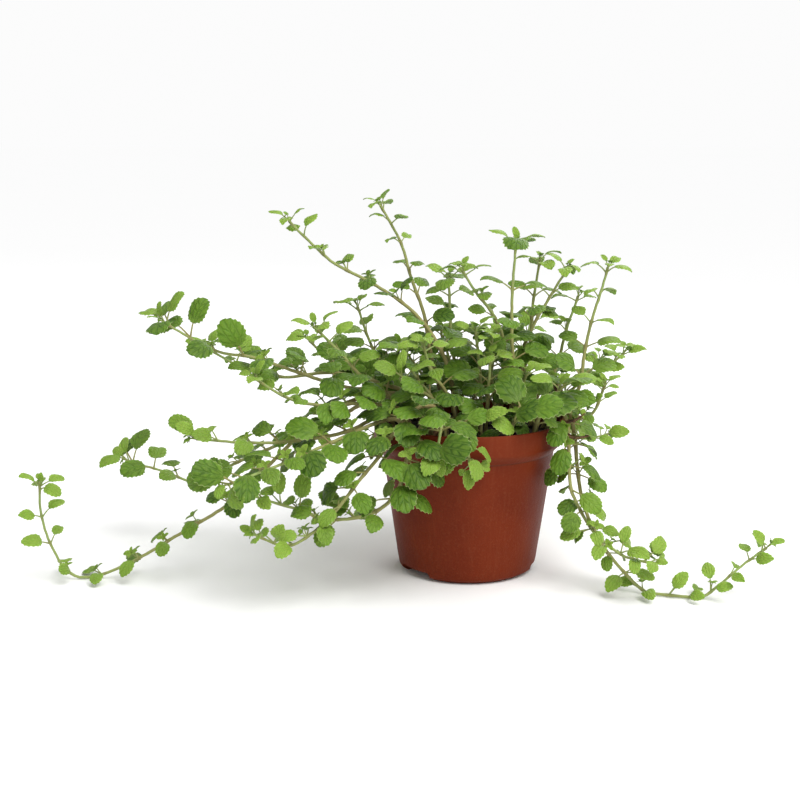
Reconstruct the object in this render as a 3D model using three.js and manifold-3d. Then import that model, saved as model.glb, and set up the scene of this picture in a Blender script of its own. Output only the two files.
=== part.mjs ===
// A potted creeping plant: round scalloped leaves in opposite pairs on thin stems that arch out of
// and trail over a tapered nursery pot. Millimetres, +Z up, with the origin under the pot's middle.
import * as THREE from "three";
import { mergeVertices } from "three/addons/utils/BufferGeometryUtils.js";
import Module from "manifold-3d";

const wasm = await Module();
wasm.setup();

// Pot: a moulded shell with a stepped rim band, a tapered wall and three notches in its foot.
const POT_HEIGHT = 98;
const RIM_RADIUS = 60;
const RIM_BAND = 13;
const RIM_STEP = 5;
const RIM_SLOPE = 6;
const WALL_FOOT_RADIUS = 44.8;
const FOOT_ROUNDING = 8;
const FOOT_RADIUS = 39.5;
const POT_WALL = 1.6;
const POT_SIDES = 32;

// Drain notches, seen from above: the angle of each one's middle, in degrees from +X.
const NOTCH_TURNS = [-143, -8, 105];
const NOTCH_WIDTH = 34;
const NOTCH_HEIGHT = 5.5;
const NOTCH_DEPTH = 16;
const NOTCH_SEGMENTS = 4;
const DRAIN_RADIUS = 3;
const DRAIN_INSET = 9;
const DRAIN_SIDES = 10;

// How much the pot's outline is eased at its foot and lip, and how far a cutter passes a face.
const CORNER_EASE = 1;
const HOLLOW_EASE = 2;
const OVERCUT = 1;

// Soil, and how a stem's foot sits in it.
const SOIL_BELOW_RIM = 10;
const SOIL_GAP = 0.3;
const ROOT_DEPTH = 9;
const SOCKET_GAP = 0.4;

// Stems and leaves.
const STEM_RADIUS = 1.4;
const STEM_SIDES = 4;
const STEM_STEP = 12;
const SPOT_SPACING = 2.5;
const STALK_SPACING = 2;
const LEAF_THICKNESS = 1;
const LEAF_SCALE = 1;
const PETIOLE_WIDTH = 1.2;
const PETIOLE_SHORTEST = 1.6;
const PETIOLE_SHARE = 0.45;
const LEAF_CLEARANCE = 1.3;
const SMALLEST_LEAF = 4.5;
const SMALLEST_PLATE = 11;
const ROUND_PLATE = 17;

// How leaves grow, in radians and as shares. Each value is a middle, and each spread is the whole
// width about it. However steeply a leaf leaves its stem, it turns up by only UPTURN of that, and on
// a level stem by SIDEWAYS towards the stem's two sides.
const FORWARD = 0.4;
const TURN_SPREAD = 0.7;
const FORWARD_SPREAD = 0.4;
const TILT_SPREAD = 0.6;
const SIZE_SPREAD = 0.3;
const TIP_GAP_SHARE = 0.65;
const UPTURN = 0.4;
const SIDEWAYS = 0.4;
const TIP_CLEAR = 9;

// The three pairs that close a shoot: distance from its tip, share of the tip's leaf size, lean
// forward, and how far they face along the stem.
const ROSETTE = [[3.5, 1.1, 0.3, 0.6], [0.8, 0.85, 0.5, 1], [0, 0.5, 0.9, 1]];

// Leaves face the sky high up on the plant, and lean out to the front lower down.
const UPRIGHT_FROM = 175;
const LEAN_FROM = 65;
const LEAN = 0.85;
const LEAN_LEFT = -0.05;
const OUTWARD_TILT = 0.35;
const STEEP_LEAN = 0.4;
const ROSETTE_TILT = 0.8;

// The pot that the stem routes below are laid out for.
const ROUTE_RIM_RADIUS = 60;
const ROUTE_POT_HEIGHT = 98;

// A stem within this of upright has no sides of its own, and a face shorter than EDGE_ON along its
// blade is turned back along the stem by TURN_BACK.
const NEARLY_UPRIGHT = 0.2;
const EDGE_ON = 0.25;
const TURN_BACK = 0.5;

// Where two blades are tested for room: rings on a blade, as shares of its radius and counts of
// points, planes this close to parallel, and leaves from one joint.
const BLADE_RINGS = [[0.5, 5], [1, 10]];
const NEARLY_PARALLEL = 1e-3;
const ONE_JOINT = 1;

// The stream of repeatable numbers.
const SEED_FACTOR = 7919;
const SEED_START = 17;
const DRAW_FACTOR = 1664525;
const DRAW_STEP = 1013904223;
const DRAW_RANGE = 2 ** 32;

const MERGE_DISTANCE = 1e-4;
const POT_FINISH = [0x7a3424, 0.55];
const SOIL_FINISH = [0x1d1612, 0.95];
const LEAF_ROUGHNESS = 0.6;
const LEAF_HUE = 0.27;
const LEAF_SATURATION = 0.42;
const LEAF_LIGHTNESS = 0.26;
const LIGHTNESS_SPREAD = 0.1;
const LIGHTNESS_STEP = 0.37;

const UP = new THREE.Vector3(0, 0, 1);
const DEGREE = Math.PI / 180;

// Each shoot: where its foot stands in the soil, then the points that its stem passes through, with
// z = 0 where it lies on the ground. first is the length of bare stem, gap the distance between leaf
// pairs, leaf and tip the blade lengths at the foot and at the tip, and turn the first pair's angle.
const SHOOTS = [
  {
    name: "trailing_shoot_left", first: 66, gap: 30, leaf: 15, tip: 11, turn: 60, foot: [-20, 2],
    route: [[-31, 3, 105], [-46, 4, 111], [-64, 2, 110], [-86, -8, 103], [-107, -17, 88],
      [-128, -22, 68], [-150, -26, 47], [-181, -28, 28], [-212, -30, 10], [-238, -31, 0],
      [-252, -32, 4], [-262, -34, 23], [-266, -37, 44], [-265, -40, 62]],
  },
  {
    name: "trailing_shoot_right", first: 40, gap: 19, leaf: 13, tip: 10, turn: 20, foot: [40, -8],
    route: [[44, -10, 103], [50, -13, 112], [57, -18, 113], [62, -22, 105], [65, -25, 90],
      [67, -28, 70], [70, -36, 50], [78, -47, 31], [90, -55, 15], [107, -61, 0], [122, -66, 0],
      [137, -70, 0], [149, -72, 10], [161, -72, 21], [175, -72, 32]],
  },
  {
    name: "trailing_shoot_right_inner", first: 38, gap: 16, leaf: 15, tip: 13, turn: 70,
    foot: [38, -22],
    route: [[42, -24, 104], [48, -28, 112], [55, -31, 109], [59, -35, 99], [60, -39, 82],
      [61, -43, 62], [67, -49, 48], [75, -56, 36], [90, -68, 26], [105, -76, 24]],
  },
  {
    name: "hanging_shoot_front_left", first: 26, gap: 16, leaf: 20, tip: 11, turn: 20,
    foot: [-14, -30],
    route: [[-20, -34, 106], [-28, -40, 112], [-38, -47, 108], [-47, -53, 98], [-56, -60, 85],
      [-69, -70, 71], [-82, -79, 56], [-96, -85, 44], [-110, -88, 38], [-126, -92, 45]],
  },
  {
    name: "hanging_shoot_front_inner", first: 26, gap: 15, leaf: 20, tip: 12, turn: 80,
    foot: [-22, -40],
    route: [[-26, -46, 101], [-31, -55, 102], [-38, -62, 88], [-45, -65, 65], [-60, -67, 52],
      [-84, -67, 48], [-106, -71, 56], [-127, -74, 63]],
  },
  {
    name: "level_shoot_front_left", first: 30, gap: 24, leaf: 16, tip: 14, turn: 10,
    foot: [-44, -20],
    route: [[-49, -23, 100], [-57, -29, 103], [-75, -39, 96], [-100, -45, 92], [-130, -50, 91],
      [-166, -53, 94]],
  },
  {
    name: "far_shoot_left", first: 70, gap: 28, leaf: 13, tip: 17, turn: 30, foot: [-36, 20],
    route: [[-44, 20, 101], [-54, 19, 106], [-68, 21, 101], [-90, 28, 87], [-112, 33, 76],
      [-151, 40, 58], [-181, 44, 43], [-205, 48, 49], [-229, 52, 55]],
  },
  {
    name: "forward_shoot_left", first: 34, gap: 19, leaf: 18, tip: 18, turn: 50, foot: [-34, -36],
    route: [[-43, -39, 101], [-54, -43, 103], [-78, -53, 95], [-108, -70, 85], [-142, -96, 77]],
  },
  {
    name: "arching_shoot_left", first: 34, gap: 24, leaf: 18, tip: 16, turn: 15, foot: [-22, -8],
    route: [[-34, -8, 108], [-56, -10, 115], [-78, -15, 119], [-104, -20, 128], [-133, -25, 139],
      [-157, -28, 144], [-186, -31, 161]],
  },
  {
    name: "arching_shoot_left_back", first: 30, gap: 20, leaf: 17, tip: 12, turn: 60, foot: [-22, 14],
    route: [[-34, 14, 106], [-52, 13, 115], [-68, 12, 120], [-90, 8, 124], [-118, 3, 122],
      [-142, 0, 128], [-164, -4, 141]],
  },
  {
    name: "high_shoot_left", first: 62, gap: 22, leaf: 14, tip: 10, turn: 80, foot: [-8, 4],
    route: [[-10, 4, 115], [-18, 5, 140], [-32, 8, 160], [-48, 10, 173], [-67, 12, 184],
      [-86, 14, 194], [-103, 16, 209], [-114, 17, 220]],
  },
  {
    name: "tallest_shoot", first: 60, gap: 20, leaf: 15, tip: 10, turn: 10, foot: [-14, 18],
    route: [[-18, 18, 112], [-24, 17, 136], [-28, 20, 160], [-36, 24, 182], [-42, 27, 203],
      [-49, 28, 217], [-56, 30, 229]],
  },
  {
    name: "tall_shoot_middle", first: 56, gap: 24, leaf: 17, tip: 16, turn: 0, foot: [28, -4],
    route: [[29, -3, 115], [27, -2, 148], [27, 0, 175], [28, 1, 193], [29, 2, 206]],
  },
  {
    name: "tall_shoot_right", first: 36, gap: 19, leaf: 18, tip: 11, turn: 40, foot: [48, 4],
    route: [[56, 4, 102], [66, 4, 107], [72, 5, 118], [74, 6, 136], [78, 8, 156], [84, 9, 176],
      [88, 10, 191]],
  },
  {
    name: "leaning_shoot_right", first: 50, gap: 17, leaf: 15, tip: 12, turn: 30, foot: [32, 12],
    route: [[34, 14, 115], [36, 15, 138], [43, 15, 155], [52, 16, 171], [63, 18, 189]],
  },
  {
    name: "leaning_shoot_left", first: 48, gap: 18, leaf: 14, tip: 11, turn: 70, foot: [18, 12],
    route: [[22, 12, 115], [24, 12, 133], [21, 12, 151], [13, 11, 165], [5, 11, 175],
      [-4, 12, 189]],
  },
  {
    name: "upright_shoot_left", first: 34, gap: 17, leaf: 18, tip: 14, turn: 20, foot: [0, 22],
    route: [[-4, 21, 115], [-10, 20, 138], [-11, 22, 158], [-12, 25, 182]],
  },
  {
    name: "upright_shoot_right", first: 44, gap: 18, leaf: 15, tip: 12, turn: 75, foot: [30, 28],
    route: [[36, 28, 115], [41, 28, 137], [43, 30, 165], [47, 32, 193]],
  },
  {
    name: "slim_shoot_right", first: 40, gap: 18, leaf: 15, tip: 9, turn: 15, foot: [38, 20],
    route: [[50, 21, 107], [59, 22, 128], [64, 24, 148], [72, 27, 171]],
  },
  {
    name: "side_shoot_right", first: 22, gap: 15, leaf: 13, tip: 9, turn: 0, foot: [46, 14],
    route: [[56, 14, 104], [68, 14, 112], [78, 15, 122], [86, 16, 132]],
  },
  {
    name: "rim_shoot_right", first: 26, gap: 14, leaf: 9, tip: 9, turn: 50, foot: [50, -4],
    route: [[57, -3, 101], [66, -2, 100], [73, -2, 96], [80, -3, 101], [86, -5, 118]],
  },
  {
    name: "left_shoot_over_rim", first: 34, gap: 17, leaf: 17, tip: 12, turn: 35, foot: [-32, -26],
    route: [[-40, -29, 104], [-51, -31, 110], [-68, -33, 112], [-92, -39, 112],
      [-112, -45, 118], [-129, -51, 130]],
  },
  {
    name: "left_shoot_rising", first: 28, gap: 16, leaf: 18, tip: 12, turn: 5, foot: [-30, -18],
    route: [[-42, -18, 106], [-54, -20, 117], [-68, -23, 128], [-80, -26, 142], [-94, -28, 157]],
  },
  {
    name: "left_shoot_steep", first: 30, gap: 15, leaf: 16, tip: 12, turn: 40, foot: [-26, 28],
    route: [[-37, 30, 107], [-51, 28, 123], [-62, 24, 139], [-71, 22, 165]],
  },
  {
    name: "left_shoot_low", first: 28, gap: 18, leaf: 16, tip: 12, turn: 65, foot: [-36, 36],
    route: [[-43, 37, 105], [-60, 38, 113], [-82, 36, 121], [-103, 32, 141]],
  },
  {
    name: "front_shoot_forked_left", first: 30, gap: 13, leaf: 18, tip: 12, turn: 30, foot: [-6, -12],
    route: [[-10, -13, 104], [-16, -16, 118], [-24, -20, 129], [-29, -25, 146]],
  },
  {
    name: "front_shoot_over_rim", first: 24, gap: 12, leaf: 13, tip: 13, turn: 10, foot: [-8, -42],
    route: [[-8, -49, 102], [-7, -57, 103], [-5, -65, 97], [-2, -68, 82]],
  },
  {
    name: "front_shoot_over_rim_left", first: 22, gap: 9, leaf: 18, tip: 18, turn: 30,
    foot: [-15, -44], route: [[-17, -49, 102], [-18, -56, 104], [-20, -63, 98], [-21, -67, 88]],
  },
  {
    name: "front_shoot_short", first: 16, gap: 9, leaf: 12, tip: 13, turn: 80, foot: [6, -30],
    route: [[6, -36, 102], [5, -43, 106], [5, -49, 105]],
  },
  {
    name: "front_shoot_right", first: 18, gap: 10, leaf: 15, tip: 22, turn: 20, foot: [22, -38],
    route: [[25, -44, 101], [29, -51, 105], [33, -55, 107]],
  },
  {
    name: "corner_shoot_right", first: 22, gap: 13, leaf: 13, tip: 18, turn: 0, foot: [38, -34],
    route: [[41, -36, 102], [49, -38, 112], [54, -39, 122]],
  },
  {
    name: "inner_shoot_1", first: 22, gap: 13, leaf: 19, tip: 12, turn: 15, foot: [10, -14],
    route: [[11, -15, 104], [12, -17, 122], [12, -20, 137]],
  },
  {
    name: "inner_shoot_2", first: 20, gap: 12, leaf: 18, tip: 12, turn: 60, foot: [22, -20],
    route: [[25, -21, 104], [30, -25, 117], [34, -29, 129]],
  },
  {
    name: "inner_shoot_3", first: 26, gap: 14, leaf: 19, tip: 12, turn: 30, foot: [8, 4],
    route: [[8, 3, 108], [7, 1, 130], [4, -2, 152]],
  },
  {
    name: "inner_shoot_4", first: 24, gap: 14, leaf: 18, tip: 13, turn: 80, foot: [14, 32],
    route: [[15, 35, 106], [18, 40, 124], [22, 44, 145]],
  },
  {
    name: "inner_shoot_5", first: 24, gap: 14, leaf: 18, tip: 13, turn: 45, foot: [-6, 36],
    route: [[-7, 39, 106], [-10, 44, 124], [-16, 50, 143]],
  },
  {
    name: "inner_shoot_6", first: 24, gap: 13, leaf: 19, tip: 14, turn: 10, foot: [-15, -11],
    route: [[-22, -12, 108], [-33, -13, 124], [-42, -15, 138]],
  },
  {
    name: "inner_shoot_7", first: 22, gap: 13, leaf: 19, tip: 14, turn: 55, foot: [-12, -21],
    route: [[-18, -24, 106], [-30, -29, 119], [-43, -34, 129]],
  },
  {
    name: "inner_shoot_8", first: 24, gap: 14, leaf: 17, tip: 12, turn: 25, foot: [-20, 44],
    route: [[-24, 50, 106], [-32, 58, 119], [-42, 66, 131]],
  },
  {
    name: "inner_shoot_9", first: 24, gap: 15, leaf: 17, tip: 12, turn: 70, foot: [20, 6],
    route: [[17, 3, 106], [14, -4, 126], [14, -10, 148]],
  },
  {
    name: "back_shoot_left", first: 30, gap: 17, leaf: 16, tip: 11, turn: 15, foot: [-22, 34],
    route: [[-33, 47, 104], [-42, 58, 106], [-50, 67, 92], [-60, 76, 70], [-74, 86, 54],
      [-92, 94, 50]],
  },
  {
    name: "back_shoot_middle", first: 28, gap: 18, leaf: 16, tip: 11, turn: 60, foot: [4, 46],
    route: [[7, 54, 103], [10, 63, 104], [13, 70, 90], [16, 74, 68], [22, 81, 48], [34, 92, 38]],
  },
  {
    name: "back_shoot_right", first: 28, gap: 17, leaf: 16, tip: 11, turn: 30, foot: [34, 36],
    route: [[38, 42, 104], [49, 54, 107], [60, 64, 94], [70, 73, 76], [84, 83, 64],
      [102, 92, 64]],
  },
  {
    name: "back_shoot_rising", first: 30, gap: 16, leaf: 16, tip: 11, turn: 5, foot: [22, 44],
    route: [[27, 52, 106], [34, 63, 120], [42, 76, 132], [48, 88, 148]],
  },
  {
    name: "right_shoot_arching", first: 26, gap: 16, leaf: 15, tip: 11, turn: 50, foot: [42, 26],
    route: [[47, 29, 105], [62, 35, 112], [90, 44, 118], [106, 48, 130]],
  },
];

// ---------------------------------------------------------------- solids

// A three.js geometry as a manifold-3d solid.
function solidFrom(geometry) {
  const bare = geometry.clone();
  bare.deleteAttribute("normal");
  bare.deleteAttribute("uv");
  const merged = mergeVertices(bare, MERGE_DISTANCE);
  return new wasm.Manifold(
    new wasm.Mesh({
      numProp: 3,
      vertProperties: new Float32Array(merged.attributes.position.array),
      triVerts: new Uint32Array(merged.index.array),
    }),
  );
}

function geometryFrom(solid) {
  const mesh = solid.getMesh();
  const geometry = new THREE.BufferGeometry();
  geometry.setAttribute("position", new THREE.BufferAttribute(mesh.vertProperties, 3));
  geometry.setIndex(new THREE.BufferAttribute(mesh.triVerts, 1));
  const flat = geometry.toNonIndexed();
  flat.computeVertexNormals();
  return flat;
}

function namedMesh(name, solid, color, roughness) {
  const material = new THREE.MeshStandardMaterial({ color, roughness, metalness: 0 });
  const mesh = new THREE.Mesh(geometryFrom(solid), material);
  mesh.name = name;
  return mesh;
}

// A solid of revolution about +Z from [radius, height] points that start and end on the axis.
function turned(points) {
  const profile = points.map(([radius, height]) => new THREE.Vector2(radius, height));
  const geometry = new THREE.LatheGeometry(profile, POT_SIDES);
  return solidFrom(geometry.rotateX(Math.PI / 2));
}

// ---------------------------------------------------------------- pot and soil

const RIM_BOTTOM = POT_HEIGHT - RIM_BAND;
const WALL_TOP = RIM_BOTTOM - RIM_SLOPE;
const WALL_TOP_RADIUS = RIM_RADIUS - RIM_STEP;
const SOIL_TOP = POT_HEIGHT - SOIL_BELOW_RIM;

// The outer profile from the foot up, as [radius, height].
const POT_OUTSIDE = [
  [FOOT_RADIUS, 0],
  [WALL_FOOT_RADIUS - CORNER_EASE, FOOT_ROUNDING / 3],
  [WALL_FOOT_RADIUS, FOOT_ROUNDING],
  [WALL_TOP_RADIUS, WALL_TOP],
  [RIM_RADIUS - CORNER_EASE, RIM_BOTTOM - RIM_SLOPE / 3],
  [RIM_RADIUS, RIM_BOTTOM],
  [RIM_RADIUS, POT_HEIGHT],
];

// Radius of the pot's outside at a height.
function potRadius(height) {
  for (let i = 1; i < POT_OUTSIDE.length; i += 1) {
    const [lowRadius, low] = POT_OUTSIDE[i - 1];
    const [highRadius, high] = POT_OUTSIDE[i];
    if (height <= high) {
      return lowRadius + ((highRadius - lowRadius) * (height - low)) / (high - low);
    }
  }
  return RIM_RADIUS;
}

// The hollow of the pot, up to a height and narrower than the wall's inner face by a gap.
function hollow(top, gap) {
  const inset = POT_WALL + gap;
  const sides = POT_OUTSIDE.slice(2, -1)
    .filter(([, height]) => height < top)
    .map(([radius, height]) => [radius - inset, height]);
  const rounded = [WALL_FOOT_RADIUS - inset - HOLLOW_EASE, inset];
  const topEdge = [potRadius(Math.min(top, POT_HEIGHT)) - inset, top];
  return turned([[0, inset], rounded, ...sides, topEdge, [0, top]]);
}

// A block in the shape of a drain notch, grown by a margin on every side.
function notchBlock(turn, margin) {
  const inner = WALL_FOOT_RADIUS - NOTCH_DEPTH - margin;
  const outer = WALL_FOOT_RADIUS + NOTCH_DEPTH;
  const halfTurn = (NOTCH_WIDTH / 2) * DEGREE + margin / WALL_FOOT_RADIUS;
  const shape = new THREE.Shape();
  shape.absarc(0, 0, outer, -halfTurn, halfTurn, false);
  shape.absarc(0, 0, inner, halfTurn, -halfTurn, true);
  const geometry = new THREE.ExtrudeGeometry(shape, {
    depth: NOTCH_HEIGHT + margin + OVERCUT,
    bevelEnabled: false,
    curveSegments: NOTCH_SEGMENTS,
  });
  return solidFrom(geometry.translate(0, 0, -OVERCUT).rotateZ(turn * DEGREE));
}

function drainHole(turn) {
  const reach = WALL_FOOT_RADIUS - DRAIN_INSET;
  const depth = NOTCH_HEIGHT * 2;
  const geometry = new THREE.CylinderGeometry(DRAIN_RADIUS, DRAIN_RADIUS, depth, DRAIN_SIDES);
  geometry.rotateX(Math.PI / 2).translate(reach, 0, NOTCH_HEIGHT + POT_WALL);
  return solidFrom(geometry.rotateZ(turn * DEGREE));
}

function makePot() {
  let inside = hollow(POT_HEIGHT + OVERCUT, 0);
  for (const turn of NOTCH_TURNS) inside = inside.subtract(notchBlock(turn, POT_WALL));
  let pot = turned([[0, 0], ...POT_OUTSIDE, [0, POT_HEIGHT]]).subtract(inside);
  for (const turn of NOTCH_TURNS) {
    pot = pot.subtract(notchBlock(turn, 0)).subtract(drainHole(turn));
  }
  return pot;
}

function makeSoil(stems) {
  let soil = hollow(SOIL_TOP, SOIL_GAP);
  for (const turn of NOTCH_TURNS) soil = soil.subtract(notchBlock(turn, POT_WALL + SOIL_GAP));
  for (const stem of stems) soil = soil.subtract(socket(stem));
  return soil;
}

// ---------------------------------------------------------------- stems

// A route point moved with the pot: what is over or inside it spreads with it, and what is beyond it
// keeps its distance.
function follow(value, laidOut, actual) {
  return value < laidOut ? (value * actual) / laidOut : value + actual - laidOut;
}

function routePoint([x, y, z]) {
  const reach = Math.hypot(x, y);
  const spread = follow(reach, ROUTE_RIM_RADIUS, RIM_RADIUS) / reach;
  const height = follow(z, ROUTE_POT_HEIGHT, POT_HEIGHT);
  return new THREE.Vector3(x * spread, y * spread, height + STEM_RADIUS);
}

// A smooth curve through a stem's points that never dips into the ground.
class StemCurve extends THREE.CatmullRomCurve3 {
  getPoint(t, target = new THREE.Vector3()) {
    super.getPoint(t, target);
    return target.setZ(Math.max(target.z, STEM_RADIUS));
  }
}

function stemCurve(shoot, lowered) {
  const foot = routePoint([...shoot.foot, 0]).setZ(SOIL_TOP - ROOT_DEPTH - lowered);
  const points = [foot, ...shoot.route.map(routePoint)];
  return new StemCurve(points, false, "catmullrom", 0.5);
}

// A stem's curve, cut into even steps, with the length along it to each step.
function layStem(shoot) {
  const curve = stemCurve(shoot, 0);
  const steps = Math.round(curve.getLength() / STEM_STEP);
  const points = curve.getSpacedPoints(steps);
  const along = [0];
  for (let i = 1; i < points.length; i += 1) {
    along.push(along[i - 1] + points[i].distanceTo(points[i - 1]));
  }
  return { shoot, curve, steps, points, along, length: along[steps] };
}

function stemAt(stem, distance) {
  let i = 1;
  while (i < stem.steps && stem.along[i] < distance) i += 1;
  const share = (distance - stem.along[i - 1]) / (stem.along[i] - stem.along[i - 1]);
  const point = stem.points[i - 1].clone().lerp(stem.points[i], share);
  const tangent = stem.points[i].clone().sub(stem.points[i - 1]).normalize();
  return { point, tangent };
}

function tube(curve, radius, steps) {
  const section = new THREE.Shape();
  for (let i = 0; i < STEM_SIDES; i += 1) {
    const angle = (i / STEM_SIDES) * Math.PI * 2;
    const corner = [Math.cos(angle) * radius, Math.sin(angle) * radius];
    if (i === 0) section.moveTo(...corner);
    else section.lineTo(...corner);
  }
  return solidFrom(new THREE.ExtrudeGeometry(section, { steps, extrudePath: curve }));
}

// The hole that a stem's foot leaves in the soil.
function socket(stem) {
  return tube(stemCurve(stem.shoot, SOCKET_GAP), STEM_RADIUS + SOCKET_GAP, stem.steps);
}

// ---------------------------------------------------------------- leaves

// A repeatable stream of numbers from 0 to 1.
function drawFrom(seed) {
  let state = (seed * SEED_FACTOR + SEED_START) >>> 0;
  return () => {
    state = (Math.imul(state, DRAW_FACTOR) + DRAW_STEP) >>> 0;
    return state / DRAW_RANGE;
  };
}

// The way that leaves at a height turn their faces.
function lightAt(height) {
  const share = (UPRIGHT_FROM - height) / (UPRIGHT_FROM - LEAN_FROM);
  const lean = LEAN * Math.min(1, Math.max(0, share));
  return new THREE.Vector3(LEAN_LEFT, -lean, 1).normalize();
}

// A leaf that grows at a distance along the stem: where it starts, the way its petiole and blade
// point, the way its face looks, and its sizes.
function makeLeaf(stem, wish, turnBy, liftBy, scale) {
  const { point, tangent } = stemAt(stem, wish.along);
  const side = new THREE.Vector3().crossVectors(tangent, UP);
  if (side.length() < NEARLY_UPRIGHT) side.set(1, 0, 0);
  side.normalize();
  const over = new THREE.Vector3().crossVectors(side, tangent);
  const level = Math.hypot(tangent.x, tangent.y) * (1 - wish.facing);
  const joint = wish.turn + turnBy;
  const turn = joint - SIDEWAYS * level * Math.sin(2 * joint);
  const outward = side.multiplyScalar(Math.cos(turn)).addScaledVector(over, Math.sin(turn));
  outward.z = Math.abs(outward.z) * UPTURN;
  const forward = wish.forward;
  const axis = outward.clone().multiplyScalar(Math.cos(forward));
  axis.addScaledVector(tangent, Math.sin(forward));
  axis.z += liftBy;
  axis.normalize();
  const face = lightAt(point.z).addScaledVector(tangent, wish.facing * ROSETTE_TILT);
  face.x += outward.x * OUTWARD_TILT + wish.tilt[0];
  face.y += outward.y * OUTWARD_TILT + wish.tilt[1];
  face.y -= Math.max(0, axis.z) * STEEP_LEAN;
  face.addScaledVector(axis, -face.dot(axis));
  if (face.length() < EDGE_ON) {
    face.addScaledVector(tangent, -TURN_BACK);
    face.addScaledVector(axis, -face.dot(axis));
  }
  face.normalize();
  const blade = wish.blade * scale * LEAF_SCALE;
  const petiole = PETIOLE_SHORTEST + blade * PETIOLE_SHARE;
  const radius = blade / 2;
  const centre = point.clone().addScaledVector(axis, petiole + radius);
  return { point, axis, face, petiole, radius, centre };
}

function petiolePoints(leaf) {
  const count = Math.max(2, Math.ceil(leaf.petiole / STALK_SPACING));
  const points = [];
  for (let i = 1; i <= count; i += 1) {
    points.push(leaf.point.clone().addScaledVector(leaf.axis, (leaf.petiole * i) / count));
  }
  return points;
}

// Points spread over a blade: its middle, a ring half way out and a ring on its edge.
function bladePoints(leaf) {
  const across = new THREE.Vector3().crossVectors(leaf.face, leaf.axis);
  const points = [leaf.centre];
  for (const [share, count] of BLADE_RINGS) {
    for (let i = 0; i < count; i += 1) {
      const angle = (i / count) * Math.PI * 2;
      points.push(
        leaf.centre
          .clone()
          .addScaledVector(leaf.axis, Math.cos(angle) * share * leaf.radius)
          .addScaledVector(across, Math.sin(angle) * share * leaf.radius),
      );
    }
  }
  return points;
}

function distanceToBlade(point, leaf) {
  const offset = point.clone().sub(leaf.centre);
  const height = offset.dot(leaf.face);
  const reach = Math.sqrt(Math.max(0, offset.lengthSq() - height * height));
  return Math.hypot(height, Math.max(0, reach - leaf.radius));
}

// Whether two blades cut through each other: their planes meet in a line, and each blade covers a
// stretch of that line.
function bladesCross(a, b) {
  const line = new THREE.Vector3().crossVectors(a.face, b.face);
  const slant = line.length();
  if (slant < NEARLY_PARALLEL) return false;
  line.divideScalar(slant);
  const stretch = (leaf, other) => {
    const height = leaf.centre.clone().sub(other.centre).dot(other.face);
    const reach = height / slant;
    if (Math.abs(reach) >= leaf.radius) return null;
    return [leaf.centre.dot(line), Math.sqrt(leaf.radius * leaf.radius - reach * reach)];
  };
  const first = stretch(a, b);
  const second = stretch(b, a);
  return Boolean(first && second) && Math.abs(first[0] - second[0]) < first[1] + second[1];
}

function leavesApart(a, b) {
  const reach = a.radius + b.radius + a.petiole + b.petiole + LEAF_CLEARANCE;
  if (a.centre.distanceTo(b.centre) > reach) return true;
  if (bladesCross(a, b)) return false;
  const near = (points, leaf) => points.some((p) => distanceToBlade(p, leaf) < LEAF_CLEARANCE);
  if (near(a.spots, b) || near(b.spots, a) || near(a.stalk, b) || near(b.stalk, a)) return false;
  if (a.point.distanceTo(b.point) < ONE_JOINT) return true;
  return !a.stalk.some((p) => b.stalk.some((q) => p.distanceTo(q) < LEAF_CLEARANCE));
}

// Whether a point keeps clear of the ground, the pot and the soil.
function inTheOpen(point) {
  if (point.z < LEAF_CLEARANCE) return false;
  if (point.z > POT_HEIGHT + LEAF_CLEARANCE) return true;
  const reach = Math.hypot(point.x, point.y);
  if (reach > potRadius(point.z) + LEAF_CLEARANCE) return true;
  return reach < RIM_RADIUS - 2 * POT_WALL - LEAF_CLEARANCE && point.z > SOIL_TOP + LEAF_CLEARANCE;
}

function hasRoom(leaf, stem, stems, leaves) {
  leaf.spots = bladePoints(leaf);
  leaf.stalk = petiolePoints(leaf);
  if (!leaf.spots.every(inTheOpen) || !leaf.stalk.every(inTheOpen)) return false;
  const gap = LEAF_CLEARANCE + STEM_RADIUS;
  for (const other of stems) {
    for (const spot of other.spots) {
      if (spot.distanceTo(leaf.centre) > leaf.radius + leaf.petiole + gap) continue;
      if (distanceToBlade(spot, leaf) < gap) return false;
      if (other !== stem && leaf.stalk.some((p) => p.distanceTo(spot) < gap)) return false;
    }
  }
  return leaves.every((other) => leavesApart(leaf, other));
}

const TURN_TRIES = [0, 20, -20, 40, -40, 60, -60];
const LIFT_TRIES = [0, 0.4, -0.4];
const SCALE_TRIES = [1, 0.85, 0.7, 0.55];

// The leaf that a shoot wants, turned, lifted or made smaller until it has room.
function settleLeaf(stem, wish, stems, leaves) {
  for (const scale of SCALE_TRIES) {
    if (wish.blade * scale < SMALLEST_LEAF) return null;
    for (const lift of LIFT_TRIES) {
      for (const turn of TURN_TRIES) {
        const leaf = makeLeaf(stem, wish, turn * DEGREE, lift, scale);
        if (hasRoom(leaf, stem, stems, leaves)) return leaf;
      }
    }
  }
  return null;
}

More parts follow.
